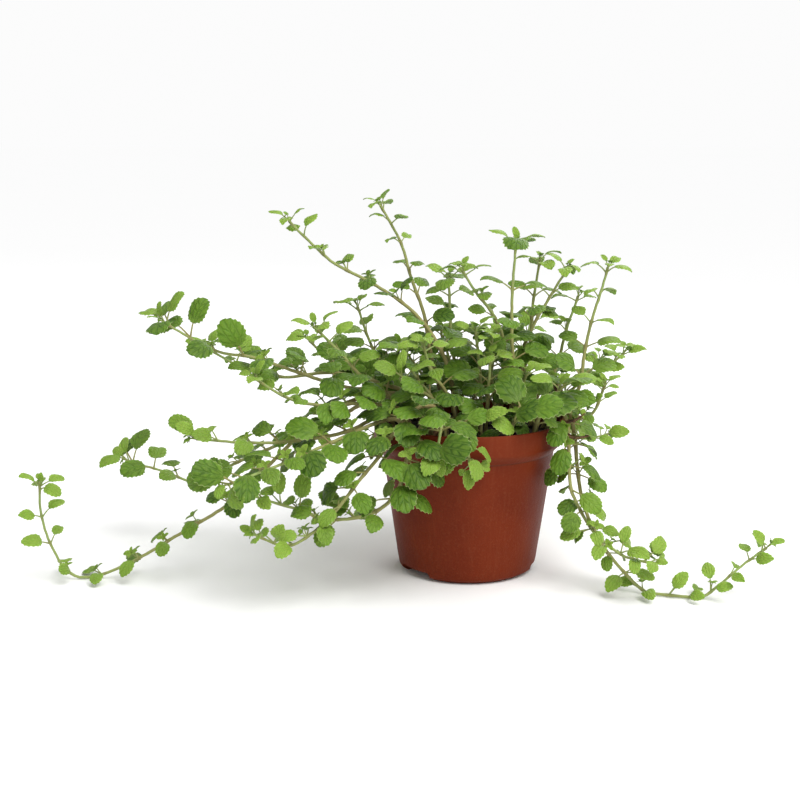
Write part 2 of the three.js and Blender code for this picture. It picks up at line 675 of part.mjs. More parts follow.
// The leaves of one shoot: opposite pairs, each a quarter turn from the last, closed by a rosette.
function growLeaves(stem, stems, leaves, seed) {
  const { first, gap, leaf, tip, turn } = stem.shoot;
  const draw = drawFrom(seed);
  const about = (middle, spread) => middle + (draw() - 0.5) * spread;
  const grown = [];
  let side = turn * DEGREE;
  let along = first;
  const grow = (at, blade, forward, facing) => {
    for (const half of [0, Math.PI]) {
      const wish = {
        along: at,
        facing,
        turn: about(side + half, TURN_SPREAD),
        forward: about(forward, FORWARD_SPREAD),
        tilt: [about(0, TILT_SPREAD), about(0, TILT_SPREAD)],
        blade: blade * about(1, SIZE_SPREAD),
      };
      const settled = settleLeaf(stem, wish, stems, leaves);
      if (settled) {
        leaves.push(settled);
        grown.push(settled);
      }
    }
    side += Math.PI / 2;
  };
  while (along < stem.length - TIP_CLEAR) {
    const age = (along - first) / (stem.length - first);
    grow(along, leaf + (tip - leaf) * age, FORWARD, 0);
    along += gap * (1 - (1 - TIP_GAP_SHARE) * age) * about(1, SIZE_SPREAD);
  }
  for (const [fromTip, share, forward, facing] of ROSETTE) {
    grow(stem.length - fromTip, tip * share, forward, facing);
  }
  return grown;
}

// The corners between a plate's foot and its tip, as shares of its radius from its middle: two on a
// large leaf and one on a small one. A petiole starts inside the stem, at a share of its radius.
const ROUND_SHARES = [[-0.45, 0.85], [0.5, 0.85]];
const PLAIN_SHARES = [[0.05, 0.97]];
const ROOTED_SHARE = 0.6;

// Half of a leaf's outline, from where its petiole starts inside the stem to its tip, as points along
// and across it.
function leafOutline(leaf) {
  const { petiole, radius } = leaf;
  const middle = petiole + radius;
  const shares = radius * 2 > ROUND_PLATE ? ROUND_SHARES : PLAIN_SHARES;
  const sides = shares.map(([along, across]) => [middle + radius * along, radius * across]);
  const start = [-STEM_RADIUS * ROOTED_SHARE, 0];
  return [start, [petiole, PETIOLE_WIDTH / 2], ...sides, [middle + radius, 0]];
}

// A leaf as a plate that is thickest at the middle of its blade and thins to its edge.
function leafSolid(leaf) {
  const half = leafOutline(leaf);
  const mirrored = half.slice(1, -1).reverse().map(([along, across]) => [along, -across]);
  const rim = [...half, ...mirrored];
  const middle = leaf.petiole + leaf.radius;
  const points = rim.map(([along, across]) => new THREE.Vector3(along, across, 0));
  points.push(new THREE.Vector3(middle, 0, LEAF_THICKNESS / 2));
  points.push(new THREE.Vector3(middle, 0, -LEAF_THICKNESS / 2));
  const faces = [];
  for (let i = 0; i < rim.length; i += 1) {
    const next = (i + 1) % rim.length;
    faces.push(next, i, rim.length, i, next, rim.length + 1);
  }
  const geometry = new THREE.BufferGeometry().setFromPoints(points).setIndex(faces);
  const across = new THREE.Vector3().crossVectors(leaf.face, leaf.axis);
  geometry.applyMatrix4(new THREE.Matrix4().makeBasis(leaf.axis, across, leaf.face));
  return solidFrom(geometry.translate(leaf.point.x, leaf.point.y, leaf.point.z));
}

function shootSolid(stem, leaves) {
  let solid = tube(stem.curve, STEM_RADIUS, stem.steps);
  for (const leaf of leaves) {
    if (leaf.radius * 2 > SMALLEST_PLATE) solid = solid.add(leafSolid(leaf));
  }
  return solid;
}

// ---------------------------------------------------------------- assembly

const plant = new THREE.Group();
plant.name = "potted_creeping_plant";

const stems = SHOOTS.map(layStem);
for (const stem of stems) {
  stem.spots = stem.curve.getSpacedPoints(Math.round(stem.length / SPOT_SPACING));
}

plant.add(namedMesh("pot", makePot(), ...POT_FINISH));
plant.add(namedMesh("soil", makeSoil(stems), ...SOIL_FINISH));

const leaves = [];
stems.forEach((stem, index) => {
  const grown = growLeaves(stem, stems, leaves, index + 1);
  const lightness = LEAF_LIGHTNESS + LIGHTNESS_SPREAD * ((index * LIGHTNESS_STEP) % 1);
  const green = new THREE.Color().setHSL(LEAF_HUE, LEAF_SATURATION, lightness);
  plant.add(namedMesh(stem.shoot.name, shootSolid(stem, grown), green, LEAF_ROUGHNESS));
});

export default plant;
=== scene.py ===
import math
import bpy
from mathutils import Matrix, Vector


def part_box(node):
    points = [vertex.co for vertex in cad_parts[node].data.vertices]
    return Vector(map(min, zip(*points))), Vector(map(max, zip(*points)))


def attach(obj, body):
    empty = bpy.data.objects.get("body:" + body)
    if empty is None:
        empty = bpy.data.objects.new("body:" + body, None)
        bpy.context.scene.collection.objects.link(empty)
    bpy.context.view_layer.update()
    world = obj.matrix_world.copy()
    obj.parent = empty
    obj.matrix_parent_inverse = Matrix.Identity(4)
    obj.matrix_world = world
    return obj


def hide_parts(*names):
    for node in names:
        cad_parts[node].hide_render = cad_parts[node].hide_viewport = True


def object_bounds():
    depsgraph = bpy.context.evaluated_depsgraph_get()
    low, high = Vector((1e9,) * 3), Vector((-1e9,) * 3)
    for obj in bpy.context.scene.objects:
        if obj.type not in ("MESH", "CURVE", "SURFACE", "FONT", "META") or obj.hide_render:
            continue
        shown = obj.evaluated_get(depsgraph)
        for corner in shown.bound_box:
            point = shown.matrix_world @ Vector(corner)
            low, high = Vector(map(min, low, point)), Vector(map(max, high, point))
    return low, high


bl_info = {
    "name": "Potted creeping plant",
    "version": (1, 0, 0),
    "blender": (4, 5, 0),
    "location": "View3D > Sidebar > Potted plant",
    "description": "Builds a creeping houseplant with scalloped leaves in a nursery pot",
    "category": "Add Mesh",
}

import bpy
import numpy as np
from mathutils import Matrix, Vector, noise

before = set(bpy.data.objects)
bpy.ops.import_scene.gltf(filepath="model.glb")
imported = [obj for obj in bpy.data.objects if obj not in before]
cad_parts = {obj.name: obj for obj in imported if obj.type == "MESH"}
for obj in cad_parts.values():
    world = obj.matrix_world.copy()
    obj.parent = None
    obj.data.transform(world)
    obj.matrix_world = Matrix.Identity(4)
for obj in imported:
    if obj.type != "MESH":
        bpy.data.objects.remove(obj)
CAD_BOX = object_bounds()

# The routes, leaves and pot profile below are in millimetres, as the frame was laid out. Meshes are
# made in metres.
MM = 0.001
BODY = "root"

POT_LOW, POT_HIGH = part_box("pot")
RIM_RADIUS = (POT_HIGH.x - POT_LOW.x) / 2 / MM
POT_HEIGHT = POT_HIGH.z / MM
SOIL_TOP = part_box("soil")[1].z / MM

RIM_BAND = 13
RIM_STEP = 5
RIM_SLOPE = 6
WALL_FOOT_RADIUS = 44.8
FOOT_ROUNDING = 8
FOOT_RADIUS = 39.5
POT_WALL = 1.6
NOTCH_TURNS = [-143, -8, 105]
NOTCH_WIDTH = 27
NOTCH_HEIGHT = 5.5
NOTCH_DEPTH = 16
DRAIN_RADIUS = 3
DRAIN_INSET = 9
CORNER_EASE = 1
SOIL_GAP = 0.3
ROOT_DEPTH = 9

STEM_RADIUS = 1.4
STEM_STEP = 12
PETIOLE_SHORTEST = 1.6
PETIOLE_SHARE = 0.45
LEAF_CLEARANCE = 1.3
SMALLEST_LEAF = 4.5

# The pot that the stem routes are laid out for.
ROUTE_RIM_RADIUS = 60
ROUTE_POT_HEIGHT = 98

# How leaves grow, in radians and as shares. Each value is a middle, and each spread is the whole
# width about it. However steeply a leaf leaves its stem, it turns up by only UPTURN of that, and on
# a level stem by SIDEWAYS towards the stem's two sides.
FORWARD = 0.4
TURN_SPREAD = 0.7
FORWARD_SPREAD = 0.4
TILT_SPREAD = 0.6
SIZE_SPREAD = 0.3
TIP_GAP_SHARE = 0.65
UPTURN = 0.4
SIDEWAYS = 0.4
TIP_CLEAR = 9

# The three pairs that close a shoot: distance from its tip, share of the tip's leaf size, lean
# forward, and how far they face along the stem.
ROSETTE = [(3.5, 1.1, 0.3, 0.6), (0.8, 0.85, 0.5, 1), (0, 0.5, 0.9, 1)]

# Leaves face the sky high up on the plant, and lean out to the front lower down.
UPRIGHT_FROM = 175
LEAN_FROM = 65
LEAN = 0.85
LEAN_LEFT = -0.05
OUTWARD_TILT = 0.35
STEEP_LEAN = 0.4
ROSETTE_TILT = 0.8

# Painted light: leaves on the right, towards the key light, are coloured paler: past the first distance
# below along x, over the second, by the share after them.
PAINTED_LIGHT_FROM = 45
PAINTED_LIGHT_OVER = 55
PAINTED_LIGHT_SHARE = 0.5

# How a leaf that has no room is made smaller, lifted and turned, in degrees, until it has.
SCALE_TRIES = (1, 0.85, 0.7, 0.55)
LIFT_TRIES = (0, 0.4, -0.4)
TURN_TRIES = (0, 20, -20, 40, -40, 60, -60)

# A stem this near to upright has no sides of its own, and a face shorter than EDGE_ON is turned back
# along the stem by TURN_BACK.
NEARLY_UPRIGHT = 0.2
EDGE_ON = 0.25
TURN_BACK = 0.5

# Where room is tested: points along stems and stalks, rings on a blade as shares of its radius with
# their counts of points, planes that count as parallel, and leaves that count as from one joint.
CURVE_SAMPLES = 200
SPOT_SPACING = 2.5
STALK_SPACING = 2
BLADE_RINGS = ((0.5, 5), (1, 10))
NEARLY_PARALLEL = 1e-3
ONE_JOINT = 1

# The room that a side shoot keeps: between heads, to the leaves that it is tested against, and from
# their blades to its head and to its stalk.
HEAD_GAP = 0.5
SEARCH_GAP = 3
HEAD_ROOM = 0.6
STALK_ROOM = 0.9

# The stream of repeatable numbers.
SEED_FACTOR = 7919
SEED_START = 17
DRAW_FACTOR = 1664525
DRAW_STEP = 1013904223
DRAW_RANGE = 2**32

UP = np.array([0.0, 0.0, 1.0])
DEGREE = math.pi / 180
# Each shoot, as the frame was laid out: its name, the length of bare stem, the distance between leaf
# pairs, the blade lengths at its foot and tip, the first pair's angle, where its foot stands in the
# soil, and the points that its stem passes through, with z = 0 where it lies on the ground.
SHOOTS = [
    ("trailing_shoot_left", 66, 30, 15, 11, 60, (-20, 2),
     [(-31, 3, 105), (-46, 4, 111), (-64, 2, 110), (-86, -8, 103), (-107, -17, 88),
      (-128, -22, 68), (-150, -26, 47), (-181, -28, 28), (-212, -30, 10), (-238, -31, 0),
      (-252, -32, 4), (-262, -34, 23), (-266, -37, 44), (-265, -40, 62)]),
    ("trailing_shoot_right", 40, 19, 13, 10, 20, (40, -8),
     [(44, -10, 103), (50, -13, 112), (57, -18, 113), (62, -22, 105), (65, -25, 90), (67, -28, 70),
      (70, -36, 50), (78, -47, 31), (90, -55, 15), (107, -61, 0), (122, -66, 0), (137, -70, 0),
      (149, -72, 10), (161, -72, 21), (175, -72, 32)]),
    ("trailing_shoot_right_inner", 38, 16, 15, 13, 70, (38, -22),
     [(42, -24, 104), (48, -28, 112), (55, -31, 109), (59, -35, 99), (60, -39, 82), (61, -43, 62),
      (67, -49, 48), (75, -56, 36), (90, -68, 26), (105, -76, 24)]),
    ("hanging_shoot_front_left", 26, 16, 20, 11, 20, (-14, -30),
     [(-20, -34, 106), (-28, -40, 112), (-38, -47, 108), (-47, -53, 98), (-56, -60, 85),
      (-69, -70, 71), (-82, -79, 56), (-96, -85, 44), (-110, -88, 38), (-126, -92, 45)]),
    ("hanging_shoot_front_inner", 26, 15, 20, 12, 80, (-22, -40),
     [(-26, -46, 101), (-31, -55, 102), (-38, -62, 88), (-45, -65, 65), (-60, -67, 52),
      (-84, -67, 48), (-106, -71, 56), (-127, -74, 63)]),
    ("level_shoot_front_left", 30, 24, 16, 14, 10, (-44, -20),
     [(-49, -23, 100), (-57, -29, 103), (-75, -39, 96), (-100, -45, 92), (-130, -50, 91),
      (-166, -53, 94)]),
    ("far_shoot_left", 70, 28, 13, 17, 30, (-36, 20),
     [(-44, 20, 101), (-54, 19, 106), (-68, 21, 101), (-90, 28, 87), (-112, 33, 76),
      (-151, 40, 58), (-181, 44, 43), (-205, 48, 49), (-229, 52, 55)]),
    ("forward_shoot_left", 34, 19, 18, 18, 50, (-34, -36),
     [(-43, -39, 101), (-54, -43, 103), (-78, -53, 95), (-108, -70, 85), (-142, -96, 77)]),
    ("arching_shoot_left", 34, 24, 18, 16, 15, (-22, -8),
     [(-34, -8, 108), (-56, -10, 115), (-78, -15, 119), (-104, -20, 128), (-133, -25, 139),
      (-157, -28, 144), (-186, -31, 161)]),
    ("arching_shoot_left_back", 30, 20, 17, 12, 60, (-22, 14),
     [(-34, 14, 106), (-52, 13, 115), (-68, 12, 120), (-90, 8, 124), (-118, 3, 122),
      (-142, 0, 128), (-164, -4, 141)]),
    ("high_shoot_left", 62, 22, 14, 10, 80, (-8, 4),
     [(-10, 4, 115), (-18, 5, 140), (-32, 8, 160), (-48, 10, 173), (-67, 12, 184), (-86, 14, 194),
      (-103, 16, 209), (-114, 17, 220)]),
    ("tallest_shoot", 60, 20, 15, 10, 10, (-14, 18),
     [(-18, 18, 112), (-24, 17, 136), (-28, 20, 160), (-36, 24, 182), (-42, 27, 203),
      (-49, 28, 217), (-56, 30, 229)]),
    ("tall_shoot_middle", 56, 24, 17, 16, 0, (28, -4),
     [(29, -3, 115), (27, -2, 148), (27, 0, 175), (28, 1, 193), (29, 2, 206)]),
    ("tall_shoot_right", 36, 19, 18, 11, 40, (48, 4),
     [(56, 4, 102), (66, 4, 107), (72, 5, 118), (74, 6, 136), (78, 8, 156), (84, 9, 176),
      (88, 10, 191)]),
    ("leaning_shoot_right", 50, 17, 15, 12, 30, (32, 12),
     [(34, 14, 115), (36, 15, 138), (43, 15, 155), (52, 16, 171), (63, 18, 189)]),
    ("leaning_shoot_left", 48, 18, 14, 11, 70, (18, 12),
     [(22, 12, 115), (24, 12, 133), (21, 12, 151), (13, 11, 165), (5, 11, 175), (-4, 12, 189)]),
    ("upright_shoot_left", 34, 17, 18, 14, 20, (0, 22),
     [(-4, 21, 115), (-10, 20, 138), (-11, 22, 158), (-12, 25, 182)]),
    ("upright_shoot_right", 44, 18, 15, 12, 75, (30, 28),
     [(36, 28, 115), (41, 28, 137), (43, 30, 165), (47, 32, 193)]),
    ("slim_shoot_right", 40, 18, 15, 9, 15, (38, 20),
     [(50, 21, 107), (59, 22, 128), (64, 24, 148), (72, 27, 171)]),
    ("side_shoot_right", 22, 15, 13, 9, 0, (46, 14),
     [(56, 14, 104), (68, 14, 112), (78, 15, 122), (86, 16, 132)]),
    ("rim_shoot_right", 26, 14, 9, 9, 50, (50, -4),
     [(57, -3, 101), (66, -2, 100), (73, -2, 96), (80, -3, 101), (86, -5, 118)]),
    ("left_shoot_over_rim", 34, 17, 17, 12, 35, (-32, -26),
     [(-40, -29, 104), (-51, -31, 110), (-68, -33, 112), (-92, -39, 112), (-112, -45, 118),
      (-129, -51, 130)]),
    ("left_shoot_rising", 28, 16, 18, 12, 5, (-30, -18),
     [(-42, -18, 106), (-54, -20, 117), (-68, -23, 128), (-80, -26, 142), (-94, -28, 157)]),
    ("left_shoot_steep", 30, 15, 16, 12, 40, (-26, 28),
     [(-37, 30, 107), (-51, 28, 123), (-62, 24, 139), (-71, 22, 165)]),
    ("left_shoot_low", 28, 18, 16, 12, 65, (-36, 36),
     [(-43, 37, 105), (-60, 38, 113), (-82, 36, 121), (-103, 32, 141)]),
    ("front_shoot_forked_left", 30, 13, 18, 12, 30, (-6, -12),
     [(-10, -13, 104), (-16, -16, 118), (-24, -20, 129), (-29, -25, 146)]),
    ("front_shoot_over_rim", 24, 12, 13, 13, 10, (-8, -42),
     [(-8, -49, 102), (-7, -57, 103), (-5, -65, 97), (-2, -68, 82)]),
    ("front_shoot_over_rim_left", 22, 9, 18, 18, 30, (-15, -44),
     [(-17, -49, 102), (-18, -56, 104), (-20, -63, 98), (-21, -67, 88)]),
    ("front_shoot_short", 16, 9, 12, 13, 80, (6, -30),
     [(6, -36, 102), (5, -43, 106), (5, -49, 105)]),
    ("front_shoot_right", 18, 10, 15, 22, 20, (22, -38),
     [(25, -44, 101), (29, -51, 105), (33, -55, 107)]),
    ("corner_shoot_right", 22, 13, 13, 18, 0, (38, -34),
     [(41, -36, 102), (49, -38, 112), (54, -39, 122)]),
    ("inner_shoot_1", 22, 13, 19, 12, 15, (10, -14),
     [(11, -15, 104), (12, -17, 122), (12, -20, 137)]),
    ("inner_shoot_2", 20, 12, 18, 12, 60, (22, -20),
     [(25, -21, 104), (30, -25, 117), (34, -29, 129)]),
    ("inner_shoot_3", 26, 14, 19, 12, 30, (8, 4),
     [(8, 3, 108), (7, 1, 130), (4, -2, 152)]),
    ("inner_shoot_4", 24, 14, 18, 13, 80, (14, 32),
     [(15, 35, 106), (18, 40, 124), (22, 44, 145)]),
    ("inner_shoot_5", 24, 14, 18, 13, 45, (-6, 36),
     [(-7, 39, 106), (-10, 44, 124), (-16, 50, 143)]),
    ("inner_shoot_6", 24, 13, 19, 14, 10, (-15, -11),
     [(-22, -12, 108), (-33, -13, 124), (-42, -15, 138)]),
    ("inner_shoot_7", 22, 13, 19, 14, 55, (-12, -21),
     [(-18, -24, 106), (-30, -29, 119), (-43, -34, 129)]),
    ("inner_shoot_8", 24, 14, 17, 12, 25, (-20, 44),
     [(-24, 50, 106), (-32, 58, 119), (-42, 66, 131)]),
    ("inner_shoot_9", 24, 15, 17, 12, 70, (20, 6),
     [(17, 3, 106), (14, -4, 126), (14, -10, 148)]),
    ("back_shoot_left", 30, 17, 16, 11, 15, (-22, 34),
     [(-33, 47, 104), (-42, 58, 106), (-50, 67, 92), (-60, 76, 70), (-74, 86, 54), (-92, 94, 50)]),
    ("back_shoot_middle", 28, 18, 16, 11, 60, (4, 46),
     [(7, 54, 103), (10, 63, 104), (13, 70, 90), (16, 74, 68), (22, 81, 48), (34, 92, 38)]),
    ("back_shoot_right", 28, 17, 16, 11, 30, (34, 36),
     [(38, 42, 104), (49, 54, 107), (60, 64, 94), (70, 73, 76), (84, 83, 64), (102, 92, 64)]),
    ("back_shoot_rising", 30, 16, 16, 11, 5, (22, 44),
     [(27, 52, 106), (34, 63, 120), (42, 76, 132), (48, 88, 148)]),
    ("right_shoot_arching", 26, 16, 15, 11, 50, (42, 26),
     [(47, 29, 105), (62, 35, 112), (90, 44, 118), (106, 48, 130)]),
]


# ------------------------------------------------------------------------------------------------
# Growth: the same rules that the frame's shoots were grown by, so that each stem and leaf made here
# lies where the frame holds it.


def pot_outside():
    """The pot's outer profile from the foot up, as (radius, height)."""
    rim_bottom = POT_HEIGHT - RIM_BAND
    return [
        (FOOT_RADIUS, 0),
        (WALL_FOOT_RADIUS - CORNER_EASE, FOOT_ROUNDING / 3),
        (WALL_FOOT_RADIUS, FOOT_ROUNDING),
        (RIM_RADIUS - RIM_STEP, rim_bottom - RIM_SLOPE),
        (RIM_RADIUS - CORNER_EASE, rim_bottom - RIM_SLOPE / 3),
        (RIM_RADIUS, rim_bottom),
        (RIM_RADIUS, POT_HEIGHT),
    ]


POT_PROFILE = np.array(pot_outside())


def unit(vector):
    return vector / np.linalg.norm(vector)


def clamp(value, low=0.0, high=1.0):
    return min(high, max(low, value))


def nearest(value):
    """The nearest whole number, with halves going up."""
    return math.floor(value + 0.5)


def follow(value, laid_out, actual):
    """A route's size, moved with the pot: shared inside the laid out size, and shifted beyond it."""
    return value * actual / laid_out if value < laid_out else value + actual - laid_out


def route_point(x, y, z):
    reach = math.hypot(x, y)
    spread = follow(reach, ROUTE_RIM_RADIUS, RIM_RADIUS) / reach
    height = follow(z, ROUTE_POT_HEIGHT, POT_HEIGHT)
    return np.array([x * spread, y * spread, height + STEM_RADIUS])


class Stem:
    """A smooth curve through a shoot's points, with even steps along it."""

    def __init__(self, shoot):
        self.name, self.first, self.gap, self.leaf, self.tip, self.turn, foot, route = shoot
        start = route_point(foot[0], foot[1], 0)
        start[2] = SOIL_TOP - ROOT_DEPTH
        self.controls = [start] + [route_point(*point) for point in route]
        samples = np.array([self.curve(i / CURVE_SAMPLES) for i in range(CURVE_SAMPLES + 1)])
        lengths = np.linalg.norm(np.diff(samples, axis=0), axis=1)
        self.lengths = np.concatenate([[0], np.cumsum(lengths)])
        self.steps = nearest(self.lengths[-1] / STEM_STEP)
        self.points = self.spaced(self.steps)
        steps = np.linalg.norm(np.diff(self.points, axis=0), axis=1)
        self.along = np.concatenate([[0], np.cumsum(steps)])
        self.length = self.along[-1]
        self.spots = self.spaced(nearest(self.length / SPOT_SPACING))

    def curve(self, share):
        """The point at a share of the way through the control points."""
        points = self.controls
        last = len(points) - 1
        place = last * share
        start = min(int(place), last - 1)
        step = place - start
        low, high = points[start], points[start + 1]
        before = points[start - 1] if start else 2 * low - high
        after = points[start + 2] if start + 2 <= last else 2 * high - low
        leave = (high - before) / 2
        arrive = (after - low) / 2
        bend = -3 * low + 3 * high - 2 * leave - arrive
        swing = 2 * low - 2 * high + leave + arrive
        point = low + leave * step + bend * step**2 + swing * step**3
        point[2] = max(point[2], STEM_RADIUS)
        return point

    def spaced(self, count):
        """Points at even distances along the curve."""
        wanted = np.linspace(0, self.lengths[-1], count + 1)
        shares = np.interp(wanted, self.lengths, np.linspace(0, 1, len(self.lengths)))
        return np.array([self.curve(share) for share in shares])

    def at(self, distance):
        """The point and direction at a distance along the stem."""
        i = 1
        while i < self.steps and self.along[i] < distance:
            i += 1
        share = (distance - self.along[i - 1]) / (self.along[i] - self.along[i - 1])
        step = self.points[i] - self.points[i - 1]
        return self.points[i - 1] + step * share, unit(step)


def draw_from(seed):
    """A repeatable stream of numbers from 0 to 1."""
    state = (seed * SEED_FACTOR + SEED_START) % DRAW_RANGE
    while True:
        state = (state * DRAW_FACTOR + DRAW_STEP) % DRAW_RANGE
        yield state / DRAW_RANGE


def light_at(height):
    """The way that leaves at a height turn their faces."""
    lean = LEAN * clamp((UPRIGHT_FROM - height) / (UPRIGHT_FROM - LEAN_FROM))
    return unit(np.array([LEAN_LEFT, -lean, 1.0]))


class Leaf:
    """A leaf: where it starts, which way it points and faces, and its sizes."""

    def __init__(self, stem, wish, turn_by, lift_by, scale):
        self.point, tangent = stem.at(wish["along"])
        side = np.cross(tangent, UP)
        if np.linalg.norm(side) < NEARLY_UPRIGHT:
            side = np.array([1.0, 0.0, 0.0])
        side = unit(side)
        over = np.cross(side, tangent)
        level = math.hypot(tangent[0], tangent[1]) * (1 - wish["facing"])
        joint = wish["turn"] + turn_by
        turn = joint - SIDEWAYS * level * math.sin(2 * joint)
        outward = side * math.cos(turn) + over * math.sin(turn)
        outward[2] = abs(outward[2]) * UPTURN
        axis = outward * math.cos(wish["forward"]) + tangent * math.sin(wish["forward"])
        axis[2] += lift_by
        axis = unit(axis)
        face = light_at(self.point[2]) + tangent * wish["facing"] * ROSETTE_TILT
        face[0] += outward[0] * OUTWARD_TILT + wish["tilt"][0]
        face[1] += outward[1] * OUTWARD_TILT + wish["tilt"][1]
        face[1] -= max(0, axis[2]) * STEEP_LEAN
        face = face - axis * face.dot(axis)
        if np.linalg.norm(face) < EDGE_ON:
            face = face - TURN_BACK * tangent
            face = face - axis * face.dot(axis)
        self.axis = axis
        self.face = unit(face)
        self.tangent = tangent
        blade = wish["blade"] * scale
        self.petiole = PETIOLE_SHORTEST + blade * PETIOLE_SHARE
        self.radius = blade / 2
        self.centre = self.point + axis * (self.petiole + self.radius)
        self.age = wish["age"]
        self.spots = self.blade_points()
        count = max(2, math.ceil(self.petiole / STALK_SPACING))
        steps = np.arange(1, count + 1)[:, None] * self.petiole / count
        self.stalk = self.point + axis * steps

    def blade_points(self):
        """Points spread over the blade: its middle, a ring half way out and a ring on its edge."""
        across = np.cross(self.face, self.axis)
        points = [self.centre]
        for share, count in BLADE_RINGS:
            for i in range(count):
                angle = i / count * math.pi * 2
                way = self.axis * math.cos(angle) + across * math.sin(angle)
                points.append(self.centre + way * share * self.radius)
        return np.array(points)

    def distances(self, points):
        """How far points lie from the blade."""
        offset = points - self.centre
        height = offset @ self.face
        reach = np.sqrt(np.maximum(0, (offset**2).sum(1) - height**2))
        return np.hypot(height, np.maximum(0, reach - self.radius))


def blades_cross(a, b):
    """Whether two blades cut through each other, along the line where their planes meet."""
    line = np.cross(a.face, b.face)
    slant = np.linalg.norm(line)
    if slant < NEARLY_PARALLEL:
        return False
    line = line / slant
    stretches = []
    for leaf, other in ((a, b), (b, a)):
        reach = (leaf.centre - other.centre).dot(other.face) / slant
        if abs(reach) >= leaf.radius:
            return False
        stretches.append((leaf.centre.dot(line), math.sqrt(leaf.radius**2 - reach**2)))
    (first, half), (second, other_half) = stretches
    return abs(first - second) < half + other_half


def leaves_apart(a, b):
    """Whether two leaves, with their petioles, keep clear of each other."""
    if blades_cross(a, b):
        return False
    for leaf, other in ((a, b), (b, a)):
        spots = np.concatenate([leaf.spots, leaf.stalk])
        if other.distances(spots).min() < LEAF_CLEARANCE:
            return False
    if np.linalg.norm(a.point - b.point) < ONE_JOINT:
        return True
    return np.linalg.norm(a.stalk[:, None] - b.stalk[None], axis=2).min() >= LEAF_CLEARANCE


def in_the_open(points):
    """Whether points keep clear of the ground, the pot and the soil."""
    height = points[:, 2]
    reach = np.hypot(points[:, 0], points[:, 1])
    wall = np.interp(height, POT_PROFILE[:, 1], POT_PROFILE[:, 0])
    beside = reach > wall + LEAF_CLEARANCE
    mouth = reach < RIM_RADIUS - 2 * POT_WALL - LEAF_CLEARANCE
    inside = mouth & (height > SOIL_TOP + LEAF_CLEARANCE)
    above = height > POT_HEIGHT + LEAF_CLEARANCE
    return bool(((height >= LEAF_CLEARANCE) & (above | beside | inside)).all())


class Plant:
    """All stems and the leaves grown so far, with what a new leaf's room is tested against."""

    def __init__(self, stems):
        self.stems = stems
        self.spots = np.concatenate([stem.spots for stem in stems])
        self.owners = np.concatenate([[i] * len(stem.spots) for i, stem in enumerate(stems)])
        self.leaves = []
        self.heads = []
        self.centres = np.zeros((0, 3))
        self.reaches = np.zeros(0)

    def add(self, leaf):
        self.leaves.append(leaf)
        self.centres = np.vstack([self.centres, leaf.centre])
        self.reaches = np.append(self.reaches, leaf.radius + leaf.petiole)

    def has_room(self, leaf, owner):
        """Whether a leaf keeps clear of the ground, the pot, all stems and the leaves so far."""
        if not in_the_open(leaf.spots) or not in_the_open(leaf.stalk):
            return False
        reach = leaf.radius + leaf.petiole
        stem_gap = LEAF_CLEARANCE + STEM_RADIUS
        near = np.linalg.norm(self.spots - leaf.centre, axis=1) <= reach + stem_gap
        if near.any():
            spots = self.spots[near]
            if leaf.distances(spots).min() < stem_gap:
                return False
            others = spots[self.owners[near] != owner]
            if len(others):
                gaps = np.linalg.norm(leaf.stalk[:, None] - others[None], axis=2)
                if gaps.min() < stem_gap:
                    return False
        apart = np.linalg.norm(self.centres - leaf.centre, axis=1)
        near = apart <= self.reaches + reach + LEAF_CLEARANCE
        return all(leaves_apart(leaf, self.leaves[i]) for i in np.flatnonzero(near))

    def is_free(self, middle, end, reach):
        """Whether a side shoot's middle and head keep clear of the pot and all that has grown."""
        spots = np.array([middle, end, end + UP * reach, end - UP * reach / 2])
        if not in_the_open(spots):
            return False
        if np.linalg.norm(self.spots - end, axis=1).min() < reach + STEM_RADIUS:
            return False
        if any(np.linalg.norm(head - end) < reach + size + HEAD_GAP for head, size in self.heads):
            return False
        near = np.linalg.norm(self.centres - end, axis=1) < self.reaches + reach + SEARCH_GAP
        for i in np.flatnonzero(near):
            gap = self.leaves[i].distances(spots)
            if gap[1] < reach + HEAD_ROOM or gap.min() < STALK_ROOM:
                return False
        return True

    def settle(self, stem, owner, wish):
        """The leaf that a shoot wants, turned, lifted or made smaller until it has room."""
        for scale in SCALE_TRIES:
            if wish["blade"] * scale < SMALLEST_LEAF:
                return None
            for lift in LIFT_TRIES:
                for turn in TURN_TRIES:
                    leaf = Leaf(stem, wish, turn * DEGREE, lift, scale)
                    if self.has_room(leaf, owner):
                        return leaf
        return None

    def grow(self, owner):
        """One shoot's leaves: opposite pairs, each a quarter turn from the last, and a rosette."""
        stem = self.stems[owner]
        draw = draw_from(owner + 1)
        grown = []
        side = stem.turn * DEGREE
        along = stem.first

        def about(middle, spread):
            return middle + (next(draw) - 0.5) * spread

        def grow_pair(at, blade, forward, facing, age):
            nonlocal side
            for half in (0, math.pi):
                wish = {"along": at, "facing": facing, "age": age}
                wish["turn"] = about(side + half, TURN_SPREAD)
                wish["forward"] = about(forward, FORWARD_SPREAD)
                wish["tilt"] = [about(0, TILT_SPREAD), about(0, TILT_SPREAD)]
                wish["blade"] = blade * about(1, SIZE_SPREAD)
                leaf = self.settle(stem, owner, wish)
                if leaf:
                    self.add(leaf)
                    grown.append(leaf)
            side += math.pi / 2

        while along < stem.length - TIP_CLEAR:
            age = (along - stem.first) / (stem.length - stem.first)
            grow_pair(along, stem.leaf + (stem.tip - stem.leaf) * age, FORWARD, 0, age)
            along += stem.gap * (1 - (1 - TIP_GAP_SHARE) * age) * about(1, SIZE_SPREAD)
        for from_tip, share, forward, facing in ROSETTE:
            grow_pair(stem.length - from_tip, stem.tip * share, forward, facing, 1)
        return grown


# ------------------------------------------------------------------------------------------------
# Mesh making


